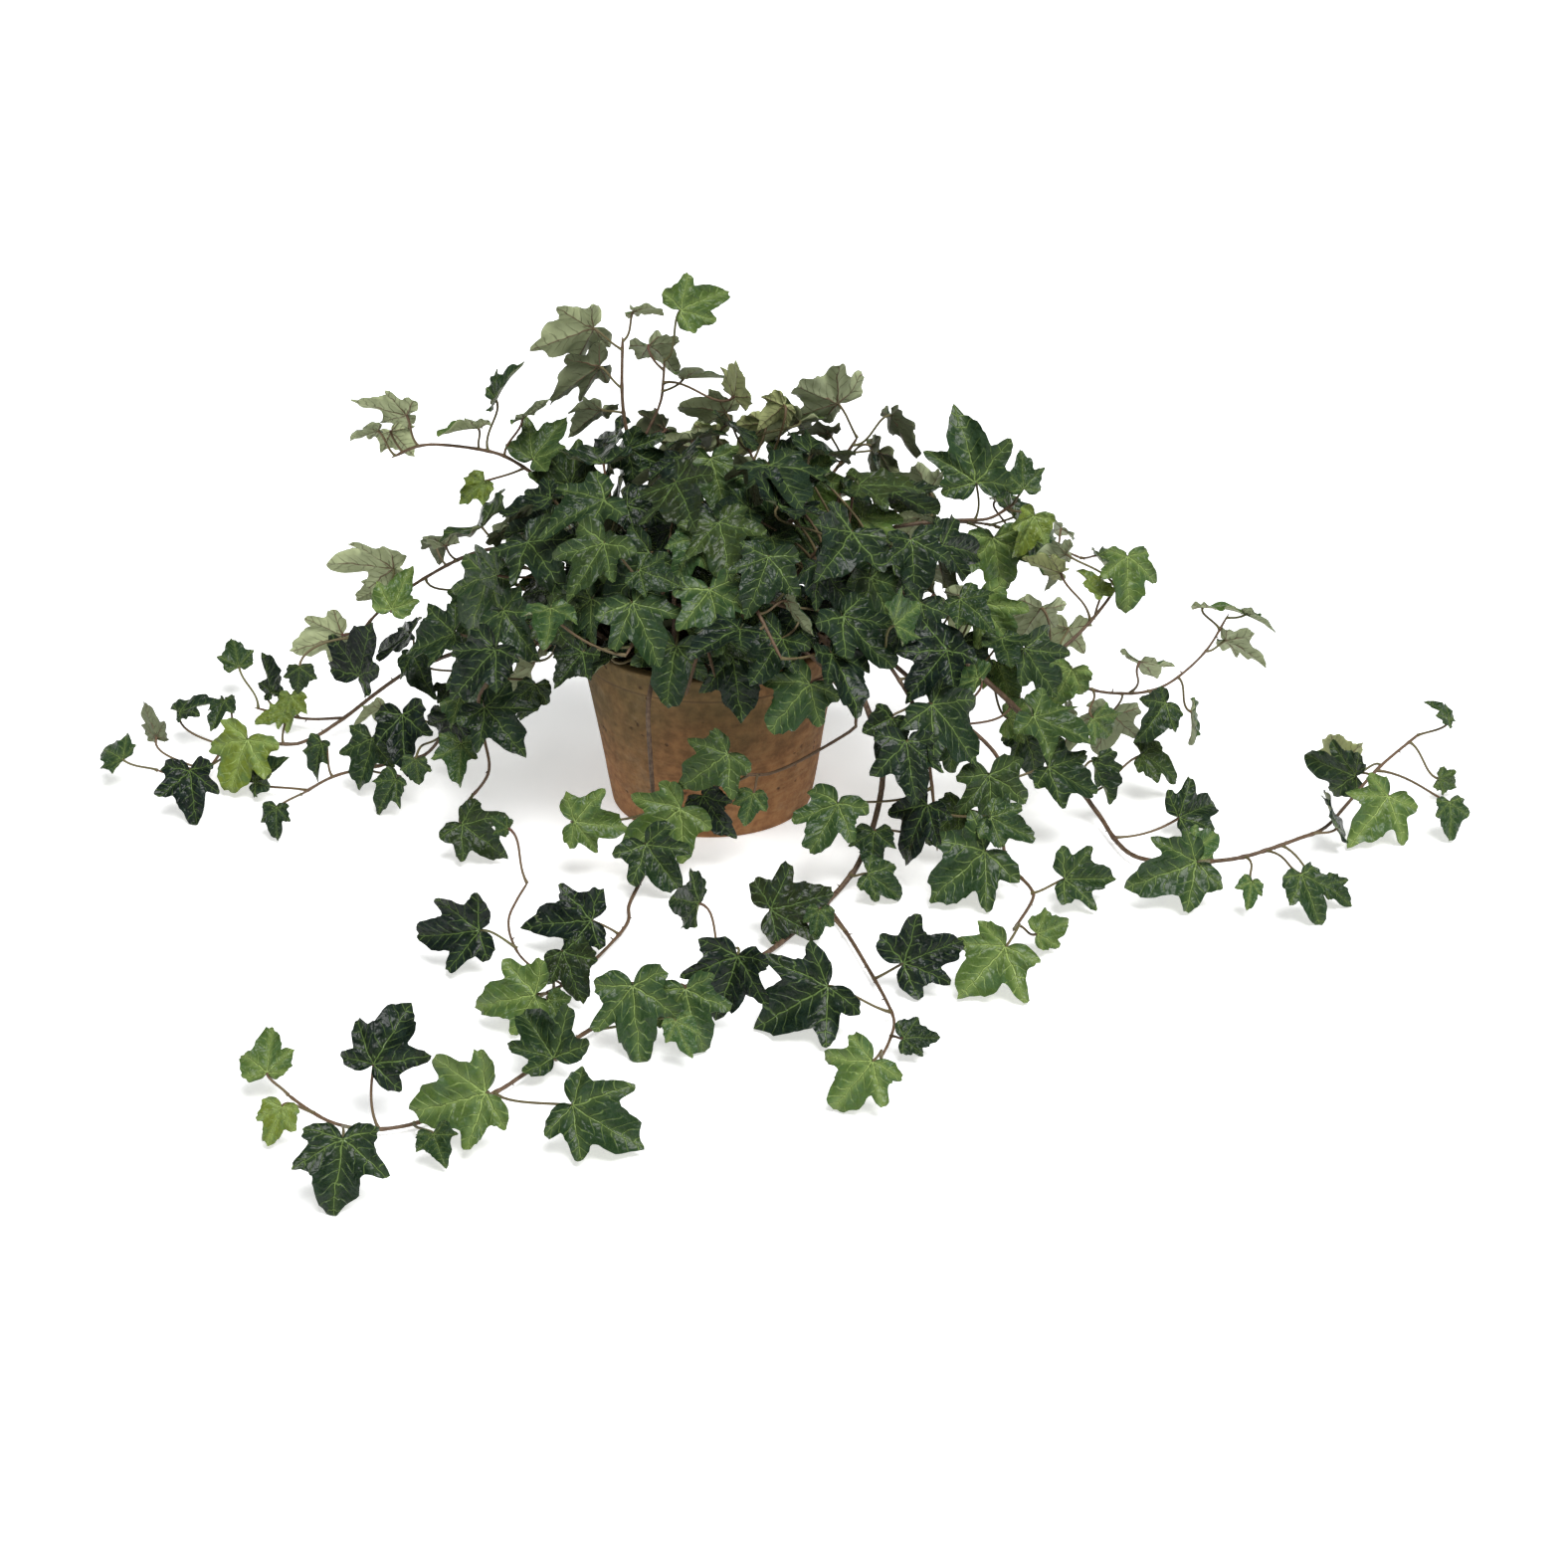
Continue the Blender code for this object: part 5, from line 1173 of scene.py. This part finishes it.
def tube(points, radii, sides):
    """A closed round tube along points, with its own turn kept steady from ring to ring."""
    verts, faces = [], []
    side = None
    for i, (p, r) in enumerate(zip(points, radii)):
        along = (points[min(i + 1, len(points) - 1)] - points[max(i - 1, 0)]).normalized()
        if side is None:
            side = along.orthogonal()
        side = (side - along * side.dot(along)).normalized()
        verts += ring(p, along, side, r, sides)
        if i:
            n = sides * i
            turn = [(k, (k + 1) % sides) for k in range(sides)]
            faces += [(n + k, n - sides + k, n - sides + j, n + j) for k, j in turn]
    faces.append(tuple(range(sides)))
    faces.append(tuple(reversed(range(len(verts) - sides, len(verts)))))
    return verts, faces


def fine_stem(shape, stem, rng, woody):
    """A stem's round tube along its smooth curve, thicker at its nodes, with rootlet stubs and a bud."""
    points = smooth_route([p / MM for p in stem.points])[::2]
    root = ROOT_DEPTH if stem.bare == 0 else 0
    if root:
        points.insert(0, points[0] - Vector((0, 0, root)))
    else:
        points[0] = points[0].lerp(points[1], 0.1)
    at = [0.0]
    for p, q in zip(points, points[1:]):
        at.append(at[-1] + (q - p).length)
    scale = stem.length / (at[-1] - root)
    radii, tones = [], []
    for s, p in zip(at, points):
        here = min(max((s - root) * scale, 0), stem.length)
        bulge = sum(math.exp(-(((here - k) / KNOT_HALF) ** 2)) for k in stem.nodes)
        left = stem.length - here
        end = 1.0 if left > BUD_LENGTH else 0.35 + 0.65 * left / BUD_LENGTH
        radii.append(stem.radius(here) * (1.22 + 0.30 * bulge + 0.05 * math.sin(here * 900)) * end)
        age = woody * (1 - 0.75 * here / stem.length)
        tones.append((min(max(age + 0.15 * math.sin(here * 60), 0), 1), 0.65, rng.random()))
    shape.add_tube(points, radii, 10 if stem.thick > 0.0012 else 8, tones)
    for k in range(int(stem.length / ROOTLET_SPACING)):
        s = rng.uniform(0.012, stem.length - 0.01)
        foot, way = stem.point(s), stem.along(s)
        out = way.orthogonal().normalized()
        out = out * math.cos(k * 2.4) + way.cross(out) * math.sin(k * 2.4)
        out = (out + way * rng.uniform(-0.2, 0.5)).normalized()
        reach = stem.radius(s) + rng.uniform(0.0008, 0.0026)
        tip = foot + out * reach
        if tip.z < 0.0006:
            continue
        shape.add_tube([foot, foot.lerp(tip, 0.6), tip], [0.0006, 0.00045, 0.0002], 5, [(0.8, 0.4, 0.5)] * 3)
    for s, branch in stem.nodes.items():
        if isinstance(branch, Stem):
            fine_stem(shape, branch, rng, woody * 0.7)
        else:
            fine_stalk(shape, branch, rng)


def fine_stalk(shape, leaf, rng):
    """A leaf's stalk, thicker at its stem and at its blade, and redder toward the blade."""
    red = min(max(rng.gauss(0.45, 0.3), 0), 1)
    steps = 12
    end = leaf.base - leaf.normal * BLADE_FINE
    root, knee, behind, _ = leaf.stalk
    points = [bezier(root, knee, behind, end, i / steps) for i in range(steps + 1)]
    radii = [FINE_STALK + 0.0005 * math.exp(-i / 0.9) + 0.00022 * math.exp((i - steps) / 1.3)
             for i in range(steps + 1)]
    for p, r in zip(points, radii):
        p.z = max(p.z, r + 0.0003)
    tones = [(0.15, red * (0.5 + 0.5 * i / steps), 0.5) for i in range(steps + 1)]
    shape.add_tube(points, radii, 7, tones)


# ---- which leaves are light, yellow or dark ----

# Tones of leaves that stand out, by the place each is wanted at: lightness and yellowness.
# The grey leaves are lighter and without yellow, to stand in for a bluish-grey sheen: painted sheen.
BRIGHT, MID, YELLOW, DARK, GREY_SHEEN = (0.46, 0.22), (0.26, 0.10), (0.55, 0.80), (0.0, 0.0), (0.20, 0.0)
TONED = {
    BRIGHT: [
        (-245, -390), (-120, -440), (-100, -315), (-100, -135), (100, -400), (185, -265), (210, -225),
        (-20, -118), (455, -65), (285, 55), (196, 84), (-220, 60), (-20, 100), (-27, 92), (64, 60),
        (184, -5), (196, -22), (241, -10), (213, -32), (-227, 30), (-78, 100), (-52, 102), (-224, 76),
        (-262, 72), (-230, 74), (-206, 82), (-212, 82), (-158, 80), (246, 40), (150, 80), (335, 45),
        (10, 100), (62, 104),
    ],
    MID: [
        (-95, -310), (-130, 78), (14, 62), (177, 22), (12, -110), (-22, 100), (-40, 104), (-228, 82),
        (90, 108), (225, 15), (152, 92), (355, 40), (502, -12), (269, -16), (260, -34),
    ],
    YELLOW: [
        (-235, -440), (-305, 100), (-156, 78), (14, 100), (254, 45), (42, 97), (4, 98), (240, 30),
        (222, 86), (56, 98), (-299, 60), (-320, 10), (436, -18),
    ],
    DARK: [
        (-180, -405), (-195, -490), (-140, -240), (-70, -220), (125, -270), (75, -310), (20, -315),
        (-246, 60), (-316, 92), (-373, 34), (-355, -30), (-210, 0), (-72, 98), (-36, 98),
    ],
    GREY_SHEEN: [
        (-70, -440), (-40, -335), (-10, -330), (180, -145), (315, -155), (184, 88), (66, -112), (230, -160),
        (105, -155), (380, -175), (318, 30), (32, 54), (-405, 10),
    ],
}
TONES = {place: tone for tone, places in TONED.items() for place in places}

# The same for the crown's own leaves, by rough places in the crown.
CROWN_TONES = [
    ((-25, -55, 175), BRIGHT), ((62, 20, 200), BRIGHT), ((88, -20, 175), MID), ((-72, 30, 205), GREY_SHEEN),
    ((20, -75, 165), MID), ((-140, -40, 130), GREY_SHEEN), ((20, 50, 225), MID), ((110, 20, 190), BRIGHT),
    ((-60, -60, 185), GREY_SHEEN), ((125, -60, 130), GREY_SHEEN),
]
SPOT_REACH = 24
PALE_FROM, PALE_ABOVE, PALER = 0.16, 0.04, 0.11  # on the right, off the floor, leaves are paler by this


def leaf_tone(leaf, rng):
    """A leaf's lightness, its yellowness and a chance number, which shifts its material's patterns."""
    light, yellow = TONES.get(leaf.wanted[:2], (None, None))
    for spot, tone in CROWN_TONES:
        if light is None and (leaf.base / MM - Vector(spot)).length < SPOT_REACH:
            light, yellow = tone
    if light is None:
        light = abs(rng.gauss(0.0, 0.07)) + (rng.uniform(0.08, 0.30) if rng.random() < 0.14 else 0)
        light += PALER if leaf.base.x > PALE_FROM and leaf.base.z > PALE_ABOVE else 0
        yellow = max(0, rng.gauss(-0.05, 0.08))
    if leaf.length < 0.030 and leaf.wanted[:2] not in TONES:
        light = min(light + 0.10, 1)
    return (min(max(light + rng.gauss(0, 0.03), 0), 1), min(max(yellow, 0), 1), rng.random())


def leaves_of(stem):
    """Every leaf on a stem and on its side shoots."""
    for branch in stem.nodes.values():
        if isinstance(branch, Stem):
            yield from leaves_of(branch)
        else:
            yield branch


# ---- the pot and the soil, finely made ----


def lathe(profile, sides):
    """A solid of revolution to work on, with its faces turned outward."""
    verts, faces = turned_surface(profile, sides)
    bm = bmesh.new()
    made = [bm.verts.new(v) for v in verts]
    for face in faces:
        bm.faces.new([made[k] for k in face])
    bmesh.ops.recalc_face_normals(bm, faces=bm.faces)
    return bm


def object_from(bm, name, mat, sharp):
    mesh = bpy.data.meshes.new(name)
    bm.to_mesh(mesh)
    bm.free()
    mesh.materials.append(mat)
    return smooth_object(name, mesh, sharp)


def stretch(a, b, steps):
    """Points on a straight part of a profile, without its first."""
    return [(a[0] + (b[0] - a[0]) * k / steps, a[1] + (b[1] - a[1]) * k / steps) for k in range(1, steps + 1)]


def fine_pot():
    """The pot with a rounded rim, a worn step under its band, a turned surface and three drainage holes."""
    band = POT_HEIGHT - BAND_DEPTH
    lip = POT_HEIGHT - LIP_ROUND
    inner_lip = RIM_RADIUS - WALL
    foot = (BASE_RADIUS, 0.0015)
    under_band = (wall_radius(band) - BAND_STEP * 0.6, band - 0.0022)
    profile = [(0, 0), *stretch((0, 0), (BASE_RADIUS - 0.002, 0), 6), (BASE_RADIUS - 0.0006, 0.0004), foot]
    profile += stretch(foot, under_band, 26)
    profile.append((wall_radius(band) - BAND_STEP * 0.2, band - 0.0008))
    profile.append((wall_radius(band) + BAND_STEP * 0.5, band + 0.0004))
    edge = (wall_radius(lip) + BAND_STEP * 0.5, lip)
    profile += stretch(profile[-1], edge, 6)
    middle = (edge[0] + inner_lip) / 2
    half = (edge[0] - inner_lip) / 2
    for k in range(1, 10):
        a = math.pi * k / 10
        profile.append((middle + half * math.cos(a), lip + LIP_ROUND * math.sin(a) ** 0.7))
    profile += [(inner_lip, lip), *stretch((inner_lip, lip), (wall_radius(POT_FLOOR) - WALL, POT_FLOOR), 20)]
    profile += stretch(profile[-1], (0, POT_FLOOR), 4)
    bm = lathe(profile, 160)
    for v in bm.verts:
        r = math.hypot(v.co.x, v.co.y)
        if r < RIM_RADIUS * 0.6:
            continue
        soft = noise.noise(v.co * 28) * 0.0006 + noise.noise(v.co * 110) * 0.00018
        tooling = 0.00012 * math.sin(v.co.z * 1500 + 2 * noise.noise(v.co * 12))
        keep = min(v.co.z / 0.004, 1)  # nothing is added at the foot
        v.co.x += v.co.x / r * (soft + tooling) * keep
        v.co.y += v.co.y / r * (soft + tooling) * keep
        if v.co.z > lip:
            v.co.z += noise.noise(v.co * 45 + Vector((3, 1, 0))) * 0.0007 - 0.0003
    pot = object_from(bm, "pot_fine", terracotta(), 50)
    cutters = []
    for k in range(3):
        angle = math.radians(30 + 120 * k)
        place = (DRAIN_REACH * math.cos(angle), DRAIN_REACH * math.sin(angle), POT_FLOOR / 2)
        size = {"vertices": 32, "radius": DRAIN_RADIUS, "depth": POT_FLOOR * 2}
        bpy.ops.mesh.primitive_cylinder_add(**size, location=place)
        cutters.append(bpy.context.object)
        pot.modifiers.new("drain", "BOOLEAN").object = cutters[-1]
    drilled = bpy.data.meshes.new_from_object(pot.evaluated_get(bpy.context.evaluated_depsgraph_get()))
    pot.modifiers.clear()
    pot.data = drilled
    for cutter in cutters:
        bpy.data.objects.remove(cutter)
    return pot


def fine_soil():
    """The soil, with a lumpy top and crumbs on it."""
    bottom = POT_FLOOR + CLEARANCE
    edge = SOIL_TOP - SOIL_MOUND
    rim = soil_radius(edge)
    foot = (soil_radius(bottom), bottom)
    profile = [(0, bottom), foot, *stretch(foot, (rim, edge), 6)]
    for k in range(1, 36):
        share = 1 - k / 36
        profile.append((rim * share, edge + SOIL_MOUND * (1 - share ** 2)))
    profile.append((0, SOIL_TOP))
    bm = lathe(profile, 140)
    for v in bm.verts:
        r = math.hypot(v.co.x, v.co.y)
        if v.co.z > edge - 1e-5 and r < rim - 0.0005:
            lumps = noise.noise(v.co * 70) * 0.0022 + noise.noise(v.co * 190) * 0.0013
            lumps += noise.noise(v.co * 520) * 0.0007
            v.co.z += lumps * min((rim - r) / 0.004, 1)
    rng = random.Random(5)
    for k in range(260):
        r, a = rim * 0.97 * math.sqrt(rng.random()), rng.uniform(0, 2 * math.pi)
        size = rng.uniform(0.0009, 0.0026)
        z = edge + SOIL_MOUND * (1 - (r / rim) ** 2) + size * 0.3
        made = bmesh.ops.create_icosphere(bm, subdivisions=2, radius=size)["verts"]
        flat = rng.uniform(0.5, 0.9)
        for v in made:
            v.co *= 1 + 0.5 * noise.noise(v.co * 600 + Vector((k, 0, 0)))
            v.co.z *= flat
            v.co += Vector((r * math.cos(a), r * math.sin(a), z))
    return object_from(bm, "soil_fine", potting_soil(), 60)


# ---- putting it together ----


def piece(ob, node):
    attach(ob, "root")
    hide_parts(node)


def dress():
    """Every visible piece, each standing in for the model's node in the same place."""
    plant = grow_plant([turned_surface(profile(), POT_SIDES) for profile in (pot_profile, soil_profile)])
    green, pale, bark = upper_side(), underside(), stem_bark()
    piece(fine_pot(), "pot")
    piece(fine_soil(), "soil")
    for name, stems in plant.items():
        rng = random.Random(name)
        stem_shape = Shape()
        fine_stem(stem_shape, stems[0], rng, 0.9)
        piece(stem_shape.build(f"{name}.stems", [bark], 60), name)
        leaf_shape = Shape()
        for leaf in leaves_of(stems[0]):
            verts, places = fine_blade(leaf, rng)
            leaf_shape.add(verts, BLADE_FACES, BLADE_SLOTS, leaf_tone(leaf, rng), places)
        if leaf_shape.verts:
            piece(leaf_shape.build(f"{name}.leaves", [green, pale], 70), name)


# name, the side it shines from, power, spread in degrees
SUNS = [("key", (0.6, -0.8, 2.2), 4.0, 36), ("fill", (-1.5, -1.6, 1.0), 0.35, 60)]
LENS, SENSOR = 72.9, 36
LOOK_AT = Vector((0.049, 0, 0.006))
CAMERA_REACH, CAMERA_RISE = 2.2, math.radians(27)  # from the point it looks at, and above the level


def studio():
    """A pale floor, soft light from above and all round, and the camera."""
    scene = bpy.context.scene
    bpy.ops.mesh.primitive_plane_add(size=24, location=(0, 0, -0.0002))
    floor = bpy.context.object
    floor.name = "floor"
    white = Nodes("floor_white", Roughness=0.9, Emission_Color=(1, 1, 1, 1), Emission_Strength=0.50)
    floor.data.materials.append(white.finish((0.9, 0.9, 0.9, 1)))
    world = bpy.data.worlds.new("studio")
    world.use_nodes = True
    colour, strength = world.node_tree.nodes["Background"].inputs[:2]
    colour.default_value, strength.default_value = (0.95, 0.98, 1.0, 1), 0.22
    scene.world = world
    for name, place, power, spread in SUNS:
        light = bpy.data.lights.new(name, "SUN")
        light.angle = math.radians(spread)
        light.energy = power
        ob = bpy.data.objects.new(name, light)
        ob.rotation_euler = (-Vector(place)).to_track_quat("-Z", "Y").to_euler()
        scene.collection.objects.link(ob)
    camera = bpy.data.cameras.new("camera")
    camera.lens = LENS
    camera.sensor_width = SENSOR
    camera.sensor_fit = "AUTO"
    ob = bpy.data.objects.new("camera", camera)
    ob.location = LOOK_AT + CAMERA_REACH * Vector((0, -math.cos(CAMERA_RISE), math.sin(CAMERA_RISE)))
    ob.rotation_euler = (LOOK_AT - ob.location).to_track_quat("-Z", "Y").to_euler()
    scene.collection.objects.link(ob)
    scene.camera = ob
    scene.view_settings.view_transform = "Standard"


dress()
studio()
bpy.context.view_layer.update()
